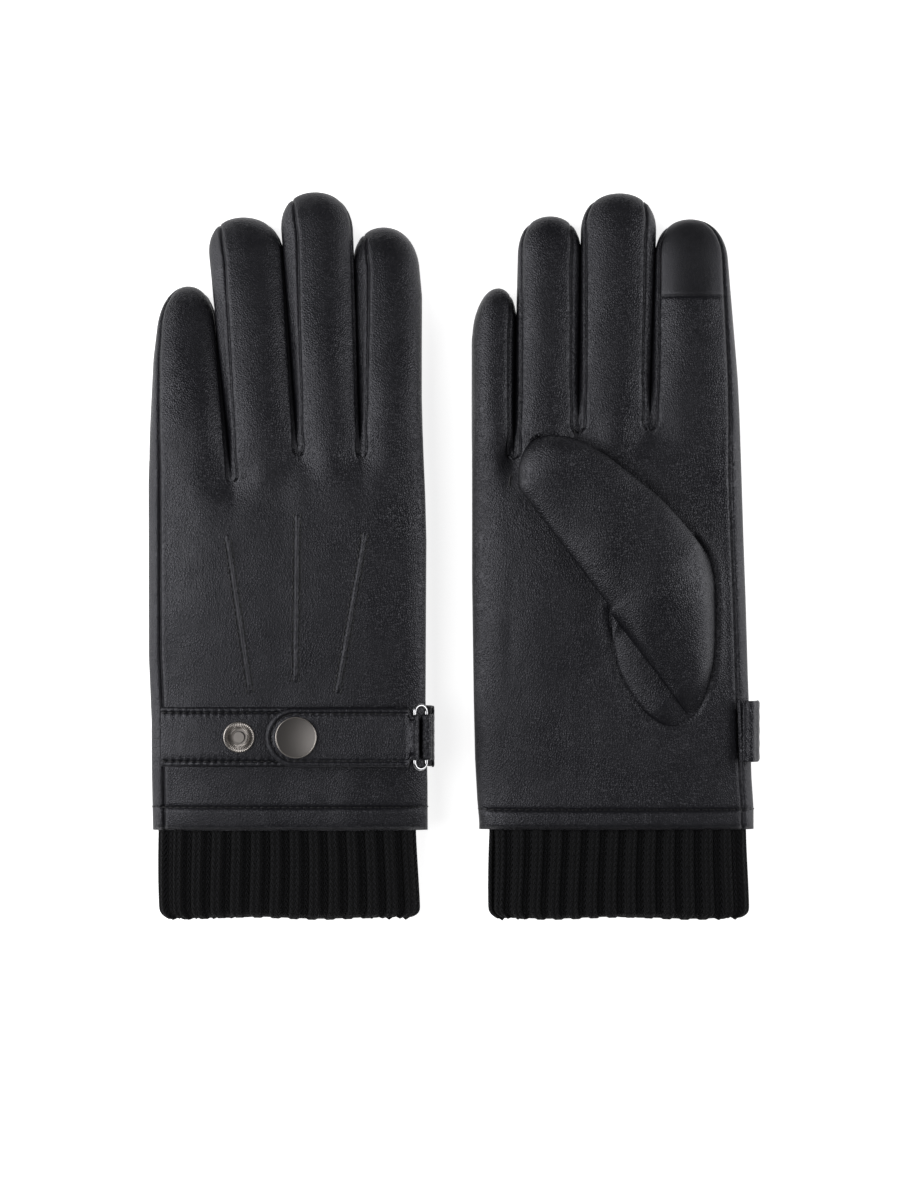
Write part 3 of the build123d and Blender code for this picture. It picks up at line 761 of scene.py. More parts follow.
def inset_tube(section, ys, count, inset):
    """A closed tube inside the leather, as rows of points."""
    rows = []
    for y in ys:
        outline, samples = section(y)
        s = lengths(outline)
        tangent = np.gradient(outline, axis=0)
        tangent /= np.maximum(np.hypot(tangent[:, 0], tangent[:, 1]), 1e-9)[:, None]
        place = np.linspace(0, s[-1], count)
        x = np.interp(place, s, outline[:, 0] + inset * tangent[:, 1])
        z = np.interp(place, s, outline[:, 1] - inset * tangent[:, 0])
        x[-1], z[-1] = x[0], z[0]
        rows.append(np.stack([x, np.full(count, float(y)), z], 1))
    return np.array(rows)


def lining_wall(piece, node_name):
    weld(piece)
    apply_modifier(piece, "SOLIDIFY", thickness=0.8 * MM, offset=-1.0)
    soften(piece)
    piece.data.materials.append(brushed_knit)
    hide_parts(node_name)


for side in PLANS:
    tube = inset_tube(lambda y: hand_section(side, y), np.linspace(8.5, 125.0, 60), 120, LINING_INSET)
    piece = grid_piece(f"{side}_hand_lining_knit", side, tube)
    lining_wall(piece, f"{side}_hand_lining")
    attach(piece, f"{side}_hand")
    for finger, name in enumerate(FINGERS):
        tip = PLANS[side]["tips"][finger]
        round_end = tip - TIP_LENGTH + (TIP_LENGTH - 2.2) * np.sin(np.linspace(0.1, pi / 2, 10))
        ys = np.r_[np.linspace(126.0, tip - TIP_LENGTH, 40), round_end]
        tube = inset_tube(lambda y: finger_section(side, finger, y), ys, 48, LINING_INSET)
        piece = grid_piece(f"{side}_{name}_lining_knit", side, tube)
        lining_wall(piece, f"{side}_{name}_lining")
        bend_finger(piece)

# ---- Thumbs
# One piece of nappa, seamed into the palm round an oval. Its base swells out of the palm, and the
# rest lies folded across it, so a deep crease runs down from the fold into the base.

THUMB_LEFT = [
    (2, -17.2), (30, -17.0), (57, -16.8), (62, -15.6), (66, -13.0), (69.5, -9.6), (71.8, -6.0),
    (73, -2.6),
]
THUMB_RIGHT = [
    (-1, 23.5), (4, 23.9), (27, 22.8), (45, 18.7), (56, 15.2), (62.8, 11.8), (68, 7.8),
    (71, 4.0), (72.4, 0.6), (73, -2.6),
]
THUMB_HALF = 4.5
CREASE = -17.2


def surface_height(side, x, y, face):
    """Height of the hand's leather at x, y on its back or its palm."""
    x, y = np.broadcast_arrays(np.asarray(x, float), np.asarray(y, float))
    lines = np.array([np.broadcast_to(line, y.shape) for line in slit_lines(side, y)])
    finger = np.sum(x[None] > lines[1:4], axis=0)
    left = np.take_along_axis(lines, finger[None], 0)[0]
    right = np.take_along_axis(lines, finger[None] + 1, 0)[0]
    t = (x - (left + right) / 2) / ((right - left) / 2)
    rise = np.where(y > 150, 8.0, thickness(side, finger, t, x, y, face))
    return hand_middle(side, y) + (rise if face == "back" else -rise)


def thumb_points(side):
    seam = oval_seam()
    lowest = int(np.argmin(seam[:, 0]))
    end = float(seam[lowest, 0])
    left_branch, right_branch = seam[: lowest + 1][::-1], seam[lowest:]
    rows = np.r_[
        end + (-35 - end) * (1 - np.cos(np.linspace(0, pi / 2, 16))),
        np.linspace(-35, 60, 84)[1:],
        60 + 13 * np.sin(np.linspace(0, pi / 2, 16)[1:]),
    ]
    out = []
    for u in rows:
        free = float(smooth((u + 3) / 10))
        high_left = CREASE if u < 2 else float(curve(THUMB_LEFT, u))
        oval_right = float(np.interp(u, right_branch[:, 0], right_branch[:, 1]))
        right = oval_right if u < -1 else float(curve(THUMB_RIGHT, u))
        oval_left = float(np.interp(u, left_branch[:, 0], left_branch[:, 1]))
        high_left = max(min(high_left, right), oval_left)
        blunt = float(np.sqrt(max(0.0, 1 - (max(0.0, u - 59) / 14) ** 2)))
        half = THUMB_HALF * blunt
        middle = 0.35 + 0.45 * float(smooth((u - 46) / 14)) + THUMB_HALF * (0.25 + 0.75 * blunt)
        near_end = float(smooth((u - end) / 12)) ** 0.6
        s = np.sin(np.linspace(pi / 2, -pi / 2, 64))
        v_top = (right + high_left) / 2 + (right - high_left) / 2 * s
        bow = (1 - np.abs(s) ** 2.5) ** (1 / 2.0)
        free_top = middle + half * bow
        oval_middle, oval_half = (right + oval_left) / 2, max((right - oval_left) / 2, 0.01)

        def dome(v):
            out_of_middle = np.clip(np.abs((v - oval_middle) / oval_half), 0, 1)
            return -0.5 + 2.9 * near_end * (1 - out_of_middle**3) ** 0.5

        toward = float((0.3 + 0.7 * smooth((u + 40) / 44)) * smooth((u - end) / 10))
        ridge = (1 - np.clip(-s, 0, 1) ** 5) ** (1 / 2.4) * (1 - np.clip(s, 0, 1) ** 2.2) ** (1 / 1.8)
        base_top = dome(v_top) + (middle + half - 2.6) * toward * ridge
        top = (1 - free) * base_top + free * free_top
        v_base = np.linspace(high_left, min(oval_left, high_left), 18)
        v_low = (1 - free) * v_base + free * np.linspace(high_left, high_left + 5, 18)
        low_s = (v_low - (right + high_left) / 2) / max((right - high_left) / 2, 0.01)
        under = middle - half * (1 - np.clip(np.abs(low_s), 0, 1) ** 3.0) ** (1 / 2.2)
        low = (1 - free) * dome(v_low) + free * under
        v_back = np.linspace(v_low[-1], right, 34)
        back_s = (v_back - (right + high_left) / 2) / max((right - high_left) / 2, 0.01)
        under = middle - half * (1 - np.clip(np.abs(back_s), 0, 1) ** 3.0) ** (1 / 2.2)
        sunk = np.full(34, -1.6)
        sunk[0], sunk[-1] = low[-1], top[0]
        back = (1 - free) * sunk + free * under
        v = np.r_[v_top, v_low[1:], v_back[1:]]
        h = np.r_[top, low[1:], back[1:]]
        v[-1], h[-1] = v[0], h[0]
        x = THUMB_AXIS[0] - sin(THUMB_TURN) * u + cos(THUMB_TURN) * v
        y = THUMB_AXIS[1] + cos(THUMB_TURN) * u + sin(THUMB_TURN) * v
        lean = 0.25 * np.sin(u / 9.0 + v / 7.0) + 0.18 * np.sin(u / 4.7 - v / 5.3 + 1.0)
        lift = lean * (np.clip(h, 0, 6) / 6) ** 2
        out.append(np.stack([x, y, palm_level(side, x, y) - h - lift], 1))
    return np.array(out)


def palm_level(side, x, y):
    """The palm's height under the thumb, evened out beyond the crease of the fingers."""
    here = surface_height(side, x, np.minimum(y, 128.0), "palm")
    share = smooth((y - 96.0) / 30.0)
    return here * (1 - share) - 8.1 * share


for side in PLANS:
    thumb = grid_piece(f"{side}_thumb_leather", side, thumb_points(side))
    leather_wall(thumb)
    thumb.data.materials.append(nappa_black)
    hinge = Vector(joints[f"{side}_thumb_lift"]["pos_m"])
    along_thumb = Vector((-sin(THUMB_TURN), cos(THUMB_TURN), 0))
    start, end = hinge - 4 * MM * along_thumb, hinge + 18 * MM * along_thumb
    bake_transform(thumb)
    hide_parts(f"{side}_thumb", f"{side}_thumb_lining")

# ---- Knitted cuffs
# A tube of two-by-two rib in black wool, sewn inside the hem. Pairs of raised wales stand between
# sunken ones, and each wale is a chain of V-shaped loops.

RIB_PITCH = 7.2
ROW_PITCH = 2.0
WALES_IN_RIB = 4
RIB_DEPTH = 1.15
SLANT = 0.9  # how far a loop leans, in rows
CUFF_TOP, CUFF_END = 8.0, -33.2
CUFF_SHIFT = {"left": 0.2, "right": 3.3}


def wool_rib(name, ribs, rows):
    """Black wool whose loops are laid out on the tube's own map, wale by wale. It gives the eye a
    dull black with rows of small V shapes, painted shade in the gaps between loops and wales, and a little
    fluff."""
    wool = new_material(name)
    split = node(wool, "ShaderNodeSeparateXYZ", {"Vector": node(wool, "ShaderNodeUVMap").outputs[0]}).outputs
    wale = maths(wool, "MULTIPLY", split["X"], float(ribs * WALES_IN_RIB))
    out = maths(wool, "ABSOLUTE", maths(wool, "MULTIPLY_ADD", maths(wool, "FRACT", wale), 2.0, -1.0))
    row = maths(wool, "MULTIPLY", split["Y"], float(rows))
    turned = maths(wool, "MULTIPLY", maths(wool, "MULTIPLY_ADD", out, SLANT, row), pi)
    loop = maths(wool, "ABSOLUTE", maths(wool, "SINE", turned))
    inward = maths(wool, "SUBTRACT", 1.0, maths(wool, "POWER", out, 3.0))
    chain = maths(wool, "MULTIPLY", loop, inward)
    fluff = noise(wool, node(wool, "ShaderNodeTexCoord").outputs["Object"], 2600.0, 3.0)["Fac"]
    # Painted shade: the colour falls to near black in the gaps between the loops and at each wale's edge.
    shades = {"Factor": chain, "A": linear("#060606"), "B": linear("#18181b")}
    inputs = {
        "Base Color": node(wool, "ShaderNodeMix", shades, data_type="RGBA").outputs["Result"],
        "Roughness": 0.95,
        "Specular IOR Level": 0.25,
        "Normal": bump(wool, maths(wool, "MULTIPLY_ADD", fluff, 0.5, chain), 1.0, 0.0009),
    }
    return finish_material(wool, node(wool, "ShaderNodeBsdfPrincipled", inputs))


def cuff_outline(side, y, samples=400):
    narrow = 47.5 - 3.2 * (np.clip((CUFF_END + 4.2 - y) / 4.2, 0, 1)) ** 2.5
    end = 1 - 0.35 * np.clip((CUFF_END + 2.0 - y) / 2.0, 0, 1) ** 2
    t = np.sin(np.linspace(-pi / 2, pi / 2, samples))
    x = CUFF_SHIFT[side] + narrow * t
    z = 6.0 * end * (1 - np.abs(t) ** 5) ** (1 / 2.2)
    middle = hand_middle(side, y)
    return np.stack([np.r_[x, x[::-1], x[:1]], np.r_[middle + z, middle - z, middle + z[:1]]], 1)


for side in PLANS:
    around = lengths(cuff_outline(side, -10.0))[-1]
    ribs = int(round(around / RIB_PITCH))
    count = ribs * 16 + 1
    rolled = CUFF_END + 3 - 3 * np.sin(np.linspace(0, pi / 2, 7)[1:])
    ys = np.r_[np.linspace(CUFF_TOP, CUFF_END + 3, 34), rolled]
    rows = []
    for y in ys[::-1]:
        outline = cuff_outline(side, y)
        s = lengths(outline)
        place = np.linspace(0, s[-1], count)
        tangent = np.gradient(outline, axis=0)
        tangent /= np.maximum(np.hypot(tangent[:, 0], tangent[:, 1]), 1e-9)[:, None]
        phase = np.linspace(0, ribs, count) % 1.0
        raised = smooth(phase / 0.12) * smooth((0.62 - phase) / 0.12)
        wales = np.abs(np.sin(2 * pi * phase / 0.62)) * 0.35
        relief = -RIB_DEPTH * (1 - raised) + wales * raised - 0.1 + 0.25 * np.sin(place / 31.0 + y / 19.0)
        x = np.interp(place, s, outline[:, 0]) - relief * np.interp(place, s, tangent[:, 1])
        z = np.interp(place, s, outline[:, 1]) + relief * np.interp(place, s, tangent[:, 0])
        edge = np.clip((CUFF_END + 4 - y) / 4, 0, 1)
        y_row = np.full(count, float(y)) - edge * (0.4 * np.sin(place / 8.3 + 1.0) + 0.3 * raised - 0.3)
        x[-1], z[-1], y_row[-1] = x[0], z[0], y_row[0]
        rows.append(np.stack([x + 0.7 * np.sin(y / 14.0 + place / 23.0), y_row, z], 1))
    cuff = grid_piece(f"{side}_knitted_cuff", side, np.array(rows))
    weld(cuff)
    apply_modifier(cuff, "SOLIDIFY", thickness=1.5 * MM, offset=-1.0)
    soften(cuff, 80)
    knit_rows = (CUFF_TOP - CUFF_END) / ROW_PITCH
    cuff.data.materials.append(wool_rib(f"black wool two-by-two rib, {side}", ribs, knit_rows))
    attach(cuff, f"{side}_hand")
    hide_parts(f"{side}_rib_cuff")

# ---- Points on the back
# Three narrow tucks of the back's own leather, raised like cords, that are sewn down on both
# sides with a row of small stitches each.

POINT_LINES = [((-13.0, 50.0), (-21.5, 108.4)), ((3.3, 54.0), (4.1, 115.8)), ((18.5, 50.0), (28.9, 109.5))]
STITCH_LENGTH, STITCH_STEP, THREAD_RADIUS = 2.0, 2.6, 0.28

# Spun polyester thread: it gives the eye a fine black dash that shines a little.
thread_black = new_material("black polyester thread")
thread = {"Base Color": linear("#0b0b0c"), "Roughness": 0.5}
finish_material(thread_black, node(thread_black, "ShaderNodeBsdfPrincipled", thread))


def stitches(name, side, paths, body):
    """Rows of machine stitches along paths on the leather: small lengths of thread, end to end."""
    deselect()
    bpy.ops.mesh.primitive_uv_sphere_add(segments=6, ring_count=5, radius=1)
    bead = bpy.context.object
    size = [THREAD_RADIUS, THREAD_RADIUS, STITCH_LENGTH / 2]
    shape = np.array([v.co[:] for v in bead.data.vertices]) * size
    faces = [tuple(p.vertices) for p in bead.data.polygons]
    bpy.data.objects.remove(bead)
    corners, polygons = [], []
    for path in paths:
        path = np.asarray(path, float)
        s = np.r_[0, np.cumsum(np.linalg.norm(np.diff(path, axis=0), axis=1))]
        for place in np.arange(STITCH_STEP / 2, s[-1] - STITCH_STEP / 4, STITCH_STEP):
            centre = np.array([np.interp(place, s, path[:, k]) for k in range(3)])
            ahead = np.array([np.interp(place + 0.8, s, path[:, k]) for k in range(3)])
            behind = np.array([np.interp(place - 0.8, s, path[:, k]) for k in range(3)])
            run = (ahead - behind) / max(np.linalg.norm(ahead - behind), 1e-9)
            side_way = np.cross(run, [0, 0, 1])
            side_way /= max(np.linalg.norm(side_way), 1e-9)
            up = np.cross(side_way, run)
            offset = len(corners) * len(shape)
            corners.append(centre + shape @ np.array([side_way, up, run]))
            polygons += [tuple(i + offset for i in face) for face in faces]
    mesh = bpy.data.meshes.new(name)
    points = to_world(side, np.vstack(corners))
    if side == "left":
        polygons = [face[::-1] for face in polygons]
    mesh.from_pydata(points.tolist(), [], polygons)
    piece = bpy.data.objects.new(name, mesh)
    bpy.context.scene.collection.objects.link(piece)
    soften(piece, 80)
    mesh.materials.append(thread_black)
    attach(piece, body)
    return piece


def on_back(side, xs, ys, above=0.0):
    return np.stack([xs, ys, surface_height(side, xs, ys, "back") + above], 1)


for side in PLANS:
    rows_of_thread = []
    for index, ((x0, y0), (x1, y1)) in enumerate(POINT_LINES):
        length = hypot(x1 - x0, y1 - y0)
        across = np.array([(y1 - y0), -(x1 - x0)]) / length
        share = np.linspace(0, 1, 70)
        offsets = np.linspace(-2.4, 2.4, 25)
        ends = np.minimum(1, np.minimum(share, 1 - share) * length / 3.5) ** 0.7
        grid = []
        for f, end in zip(share, ends):
            xs = x0 + (x1 - x0) * f + across[0] * offsets
            ys = y0 + (y1 - y0) * f + across[1] * offsets
            ridge = 0.75 * np.exp(-((offsets / 0.7) ** 2)) * (1 + 0.08 * np.sin(f * length * 2.3))
            groove = -0.42 * np.exp(-(((np.abs(offsets) - 1.25) / 0.35) ** 2))
            rise = end * (0.3 * smooth((2.3 - np.abs(offsets)) / 0.9) + ridge + groove) - 0.12
            grid.append(on_back(side, xs, ys, rise))
        tuck = grid_piece(f"{side}_point_{index + 1}", side, np.array(grid))
        apply_modifier(tuck, "SOLIDIFY", thickness=0.4 * MM, offset=-1.0)
        soften(tuck)
        tuck.data.materials.append(nappa_black)
        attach(tuck, f"{side}_hand")
        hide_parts(f"{side}_hand_back")
        for away in (-1.25, 1.25):
            xs = x0 + (x1 - x0) * share + across[0] * away
            ys = y0 + (y1 - y0) * share + across[1] * away
            rows_of_thread.append(on_back(side, xs, ys, 0.0))
    stitches(f"{side}_point_stitches", side, rows_of_thread, f"{side}_hand")

# ---- Hem
# The hand's edge is folded inwards over the knit and held by one row of stitches all round.

for side in PLANS:
    stitch_y = PLANS[side]["hem_stitch_y"]
    outline, samples = hand_section(side, stitch_y)
    path = np.stack([outline[:, 0], np.full(len(outline), stitch_y), outline[:, 1]], 1)
    path[:, 2] -= 0.5 * np.clip((outline[:, 1] - hand_middle(side, stitch_y)) / 5.0, -1, 1)
    stitches(f"{side}_hem_stitches", side, [path], f"{side}_hand")

# ---- Sewn straps
# A band of nappa laid across the back of the wrist. It starts in the seam at the little finger's
# side, and is sewn down near its edges, where the needle draws small puckers.

STRAP_Y, STRAP_HALF = 34.4, 10.85
STRAP_SHIFT = {"left": 0.354, "right": 1.417}
BAND_THICKNESS = 1.2
BAND_STITCH = 2.0
PUCKER_PITCH = 2.7

for side in PLANS:
    shift = STRAP_SHIFT[side]
    xs = np.linspace(-46.2, 39.2, 150) + shift
    inner = np.r_[0.0, 0.12, 0.35, 0.7, 1.1, 1.5, 1.8, 2.0, 2.2, 2.5, 3.0, 3.8]
    middle = np.linspace(-6.2, 6.2, 9)
    ys = STRAP_Y + np.r_[inner - STRAP_HALF, middle, (STRAP_HALF - inner)[::-1]]
    x, y = np.meshgrid(xs, ys)
    d = np.minimum(STRAP_HALF - np.abs(y - STRAP_Y), 12)
    edge = 1 - np.sqrt(1 - (1 - np.clip(d / 0.8, 0, 1)) ** 2)
    end = np.clip((xs[-1] - x) / 0.8, 0, 1)
    top = BAND_THICKNESS * (1 - 0.8 * edge) * (0.2 + 0.8 * np.sqrt(1 - (1 - end) ** 2))
    dip = -0.5 * np.exp(-(((d - BAND_STITCH) / 0.4) ** 2))
    near = np.exp(-(((d - BAND_STITCH) / 1.3) ** 2))
    pucker = 0.22 * np.sin(2 * pi * x / PUCKER_PITCH + 0.8 * np.sin(x / 5.0)) * near
    bow = 0.25 * smooth((d - 2.4) / 3.0)
    z = surface_height(side, x, y, "back") + top + dip + pucker + bow
    points = np.stack([x, y, z], 2)
    band = grid_piece(f"{side}_sewn_strap", side, points)
    apply_modifier(band, "SOLIDIFY", thickness=0.9 * MM, offset=-1.0)
    soften(band)
    band.data.materials.append(nappa_black)
    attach(band, f"{side}_hand")
    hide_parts(f"{side}_strap_base")
    lines = []
    for away in (-1, 1):
        line_y = np.full(len(xs), STRAP_Y + away * (STRAP_HALF - BAND_STITCH))
        lines.append(on_back(side, xs, line_y, BAND_THICKNESS - 0.42))
    stitches(f"{side}_sewn_strap_stitches", side, lines, f"{side}_hand")

# ---- Loose straps
# A round-ended tab of two layers of nappa, turned and sewn round its edge, whose other end is
# folded round the ring's inner bar.

TAB_LEFT, BAR = -7.8, (46.4, 9.6)
TAB_LEVEL, TAB_HALF_THICKNESS = 9.6, 1.0
FOLD_RADIUS, FOLD_HALF_WIDTH = 1.75, 8.3
TAB_STITCH = 2.3

for side in PLANS:
    shift = STRAP_SHIFT[side]
    round_centre = TAB_LEFT + STRAP_HALF
    lead = TAB_LEFT + STRAP_HALF * (1 - np.cos(np.linspace(0, pi / 2, 26)))
    straight = np.linspace(round_centre, BAR[0] - 3.4, 60)[1:]
    neck = np.linspace(BAR[0] - 3.4, BAR[0], 12)[1:]
    flat = np.r_[lead, straight, neck]
    turn = np.linspace(pi / 2, -pi / 2, 14)[1:-1]
    across = np.sin(np.linspace(-pi / 2, pi / 2, 51))

    def width(x):
        round_end = np.sqrt(np.clip(STRAP_HALF**2 - np.clip(round_centre - x, 0, STRAP_HALF) ** 2, 0, None))
        return round_end - (STRAP_HALF - FOLD_HALF_WIDTH) * smooth((x - (BAR[0] - 2.6)) / 1.4)

    def tab_row(x, up):
        y = width(x) * across
        d = np.where(x < round_centre, STRAP_HALF - np.hypot(x - round_centre, y), width(x) - np.abs(y))
        d = np.clip(d, 0, 20)
        body = TAB_HALF_THICKNESS + (FOLD_RADIUS - TAB_HALF_THICKNESS) * smooth((x - (BAR[0] - 3.4)) / 3.2)
        roundness = np.sqrt(1 - (1 - np.clip(d / 1.1, 0, 1)) ** 2)
        groove = -0.45 * np.exp(-(((d - TAB_STITCH) / 0.4) ** 2)) + 0.22 * np.exp(-(((d - 1.2) / 0.6) ** 2))
        pucker = 0.12 * np.sin(2 * pi * x / PUCKER_PITCH) * np.exp(-(((d - TAB_STITCH) / 1.2) ** 2))
        bow = 0.22 * smooth((d - 2.6) / 3.0)
        rise = body * roundness + (groove + pucker + bow if up > 0 else 0.5 * groove)
        return np.stack([np.full(len(y), x), STRAP_Y + y, TAB_LEVEL + up * np.maximum(rise, 0)], 1)

    rows = [tab_row(x, 1) for x in flat]
    for angle in turn:
        y = FOLD_HALF_WIDTH * across
        roll = np.sqrt(1 - (1 - np.clip((FOLD_HALF_WIDTH - np.abs(y)) / 1.0, 0, 1)) ** 2)
        radius = FOLD_RADIUS * (0.5 + 0.5 * roll)
        rows.append(np.stack([BAR[0] + radius * cos(angle), STRAP_Y + y, BAR[1] + radius * sin(angle)], 1))
    rows += [tab_row(x, -1) for x in flat[::-1]]
    points = np.array(rows) + [shift, 0, 0]
    tab = grid_piece(f"{side}_loose_strap_leather", side, np.swapaxes(points, 0, 1))
    weld(tab, 0.00003)
    soften(tab, 60)
    tab.data.materials.append(nappa_black)
    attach(tab, f"{side}_loose_strap")
    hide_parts(f"{side}_strap")
    angles = np.linspace(pi / 2, 3 * pi / 2, 40)
    inner = STRAP_HALF - TAB_STITCH
    run = np.linspace(BAR[0] - 4.5, round_centre, 60)
    line_x = np.r_[run, round_centre + inner * np.cos(angles), run[::-1]] + shift
    line_y = STRAP_Y + np.r_[np.full(60, inner), inner * np.sin(angles), np.full(60, -inner)]
    line = np.stack([line_x, line_y, np.full(len(line_x), TAB_LEVEL + TAB_HALF_THICKNESS - 0.36)], 1)
    stitches(f"{side}_loose_strap_stitches", side, [line], f"{side}_loose_strap")

# ---- Ring loops
# A folded strip of nappa from the palm's side seam round the glove's edge, closed round the
# ring's outer bar.

LOOP_PATH = [
    (46.8, -8.0), (49.0, -7.9), (51.2, -6.9), (52.7, -4.9), (53.35, -2.0), (53.4, 1.5),
    (53.3, 4.6), (52.9, 6.6), (52.1, 8.1), (50.6, 8.75), (49.2, 8.1), (48.85, 7.0), (49.2, 5.9),
    (50.4, 5.3),
]
LOOP_HALF = 11.2
LOOP_Y = {"left": 34.4, "right": 36.2}  # the loop of the right glove is sewn a little higher

for side in PLANS:
    path = np.array(LOOP_PATH)
    s = np.r_[0, np.cumsum(np.hypot(*np.diff(path, axis=0).T))]
    fine = np.linspace(0, s[-1], 64)
    px = curve(list(zip(s, path[:, 0])), fine)
    pz = curve(list(zip(s, path[:, 1])), fine)
    t = np.sin(np.linspace(-pi / 2, pi / 2, 30))
    half = LOOP_HALF - (LOOP_HALF - FOLD_HALF_WIDTH) * smooth((fine - 13.8) / 1.6)
    x = px[None, :] + STRAP_SHIFT[side] + 0 * t[:, None]
    y = LOOP_Y[side] + half[None, :] * t[:, None]
    crease = 0.16 * np.sin(fine * 1.9)[None, :] + 0.06 * np.sin(y * 1.3 + fine[None, :])
    tangent = np.stack([np.gradient(px), np.gradient(pz)], 1)
    tangent /= np.hypot(tangent[:, 0], tangent[:, 1])[:, None]
    edge = 0.5 * (1 - np.sqrt(1 - np.clip(np.abs(t[:, None]) * 11 - 10, 0, 1) ** 2))
    offset = crease - edge
    points = np.stack([x + tangent[None, :, 1] * offset, y, pz[None, :] - tangent[None, :, 0] * offset], 2)
    loop = grid_piece(f"{side}_ring_loop_leather", side, points[:, ::-1])
    apply_modifier(loop, "SOLIDIFY", thickness=1.0 * MM, offset=-1.0)
    soften(loop)
    loop.data.materials.append(nappa_black)
    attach(loop, f"{side}_hand")
    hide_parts(f"{side}_ring_loop")

# ---- Snaps and ring
# Pressed brass, plated: bright nickel for the studs, sockets and the wire ring, and dark gunmetal
# for the cap, with a rounded rim of lighter nickel round its edge, whose lighter colour is a painted
# highlight. The bare stud has a knurled flange round its post.


def metal(name, colour, roughness, relief=0.0, dish=0.0):
    """Plated metal with faint marks, whose face may be slightly dished."""
    plated = new_material(name)
    places = node(plated, "ShaderNodeTexCoord").outputs
    inputs = {"Base Color": linear(colour), "Metallic": 1.0, "Roughness": roughness}
    if relief:
        marks = noise(plated, places["Object"], 900.0, 3.0)["Fac"]
        inputs["Normal"] = bump(plated, marks, relief, 0.00005)
    if dish:
        ends = {0: places["Generated"], 1: (0.5, 0.5, 0.5)}
        away = node(plated, "ShaderNodeVectorMath", ends, operation="DISTANCE").outputs["Value"]
        inputs["Normal"] = bump(plated, maths(plated, "POWER", away, 2.0), 1.0, dish, inputs.get("Normal"))
    return finish_material(plated, node(plated, "ShaderNodeBsdfPrincipled", inputs))


# Nickel gives the eye a warm grey with soft reflections, gunmetal a darker face across which one
# blurred reflection fades, and chromed wire a thin bright line.
nickel = metal("nickel-plated brass", "#8f8a86", 0.34, 0.3)
gunmetal = metal("gunmetal-plated brass", "#63605e", 0.42, 0.25, dish=0.003)
chrome = metal("chromed steel wire", "#b0b0b2", 0.16)
SPARE_X, CAP_X, BAND_TOP, CAP_TOP = -17.5, 3.4, 7.2, 11.8
TEETH = 44
RIM_RADIUS, RIM_WIRE = 7.25, 0.27

for side in PLANS:
    platings = {"studs": nickel, "snap_socket": nickel, "snap_cap": gunmetal, "ring": chrome}
    for part, plating in platings.items():
        shown = frame["nodes"][f"{side}_{part}"]
        shown.data.materials.clear()
        shown.data.materials.append(plating)
    radii = np.r_[5.75, 5.72, 5.6, 5.35, 5.0, 4.6, 4.2, 3.8, 3.4, 3.1, 2.8, 2.5, 2.2]
    rises = np.array([0.0, 0.35, 0.62, 0.74, 0.66, 0.72, 0.78, 0.74, 0.6, 0.42, 0.3, 0.26, 0.24])
    knurl = np.array([0, 0, 0.02, 0.05, 0.2, 0.28, 0.3, 0.28, 0.2, 0.1, 0, 0, 0])
    angles = np.linspace(0, 2 * pi, TEETH * 8 + 1)
    teeth = 0.5 - 0.5 * np.cos(angles * TEETH)
    rows = []
    for radius, rise, cut in zip(radii, rises, knurl):
        z = BAND_TOP + 0.25 + rise - cut * teeth
        x = SPARE_X + STRAP_SHIFT[side] + radius * np.cos(angles)
        rows.append(np.stack([x, STRAP_Y + radius * np.sin(angles), z + 0 * angles], 1))
    flange = grid_piece(f"{side}_knurled_flange", side, np.array(rows))
    weld(flange, 0.00001)
    apply_modifier(flange, "SOLIDIFY", thickness=0.2 * MM, offset=-1.0)
    soften(flange, 40)
    flange.data.materials.append(nickel)
    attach(flange, f"{side}_hand")
    # The cap's rim: a rounded wire in lighter nickel. Its shape is real, and its lighter colour is a painted
    # highlight.
    centre = to_world(side, [[CAP_X + STRAP_SHIFT[side], STRAP_Y, CAP_TOP - 0.12]])[0]
    deselect()
    bpy.ops.mesh.primitive_torus_add(
        major_radius=RIM_RADIUS * MM,
        minor_radius=RIM_WIRE * MM,
        major_segments=96,
        minor_segments=12,
        location=centre,
    )
    rim = bpy.context.object
    rim.name = f"{side}_cap_rim_painted_highlight"
    bpy.ops.object.transform_apply(location=True, rotation=False, scale=False)
    bpy.ops.object.shade_smooth()
    rim.data.materials.append(nickel)
    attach(rim, f"{side}_loose_strap")

# ---- Floor, light and camera
# A plain white table top under three large soft lights, seen straight from above.

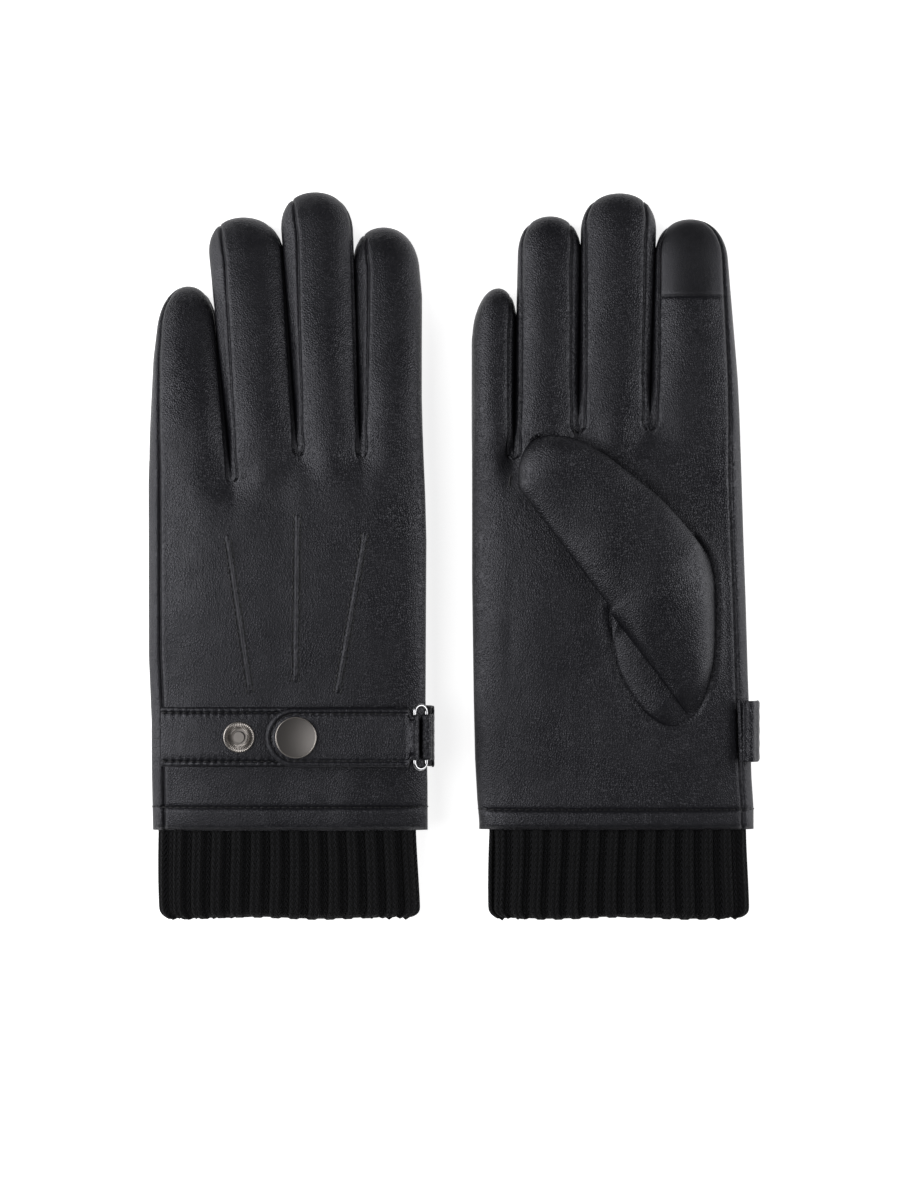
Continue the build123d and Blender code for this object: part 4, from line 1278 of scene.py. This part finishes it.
CAMERA_OFFSET = (-1.7, -17.5)  # from the middle of the pair
VIEW_HEIGHT = 438.5  # what the frame spans, 20 mm above the table
LENS, SENSOR_HEIGHT = 100.0, 36.0
middle = (Vector(cad_bounds[0]) + Vector(cad_bounds[1])) / 2

# Matt paper that glows a little: it gives the eye an even near-white with a faint shadow.
paper = new_material("white paper backdrop")
paper_place = node(paper, "ShaderNodeTexCoord").outputs["Object"]
paper_inputs = {
    "Base Color": linear("#fbfbfb"),
    "Roughness": 0.9,
    "Normal": bump(paper, noise(paper, paper_place, 300.0)["Fac"], 0.02, 0.0001),
    "Emission Color": (1, 1, 1, 1),
    "Emission Strength": 0.8,
}
finish_material(paper, node(paper, "ShaderNodeBsdfPrincipled", paper_inputs))
deselect()
bpy.ops.mesh.primitive_plane_add(size=4.0, location=(middle.x, middle.y, -0.0003))
floor = bpy.context.object
floor.name = "backdrop"
floor.data.materials.append(paper)

world = bpy.data.worlds.new("studio")
bpy.context.scene.world = world
world.use_nodes = True
world.node_tree.nodes["Background"].inputs["Color"].default_value = (1, 1, 1, 1)
world.node_tree.nodes["Background"].inputs["Strength"].default_value = 0.12
for name, place, size, power in (
    ("overhead softbox", (-0.55, -0.05, 1.0), 0.7, 3.8),
    ("left softbox", (-1.1, 0.15, 0.6), 0.9, 12.0),
    ("right softbox", (1.1, 0.1, 0.5), 0.8, 8.0),
):
    light = bpy.data.lights.new(name, "AREA")
    light.size = size
    light.energy = power
    holder = bpy.data.objects.new(name, light)
    bpy.context.scene.collection.objects.link(holder)
    holder.location = Vector(place)
    holder.rotation_euler = (-Vector(place)).to_track_quat("-Z", "Y").to_euler()

camera = bpy.data.cameras.new("camera")
camera.lens = LENS
camera.sensor_fit = "VERTICAL"
camera.sensor_height = SENSOR_HEIGHT
eye = bpy.data.objects.new("camera", camera)
bpy.context.scene.collection.objects.link(eye)
eye.location = (
    middle.x + CAMERA_OFFSET[0] * MM,
    middle.y + CAMERA_OFFSET[1] * MM,
    20 * MM + LENS / SENSOR_HEIGHT * VIEW_HEIGHT * MM,
)
bpy.context.scene.camera = eye
bpy.context.scene.view_settings.view_transform = "Standard"
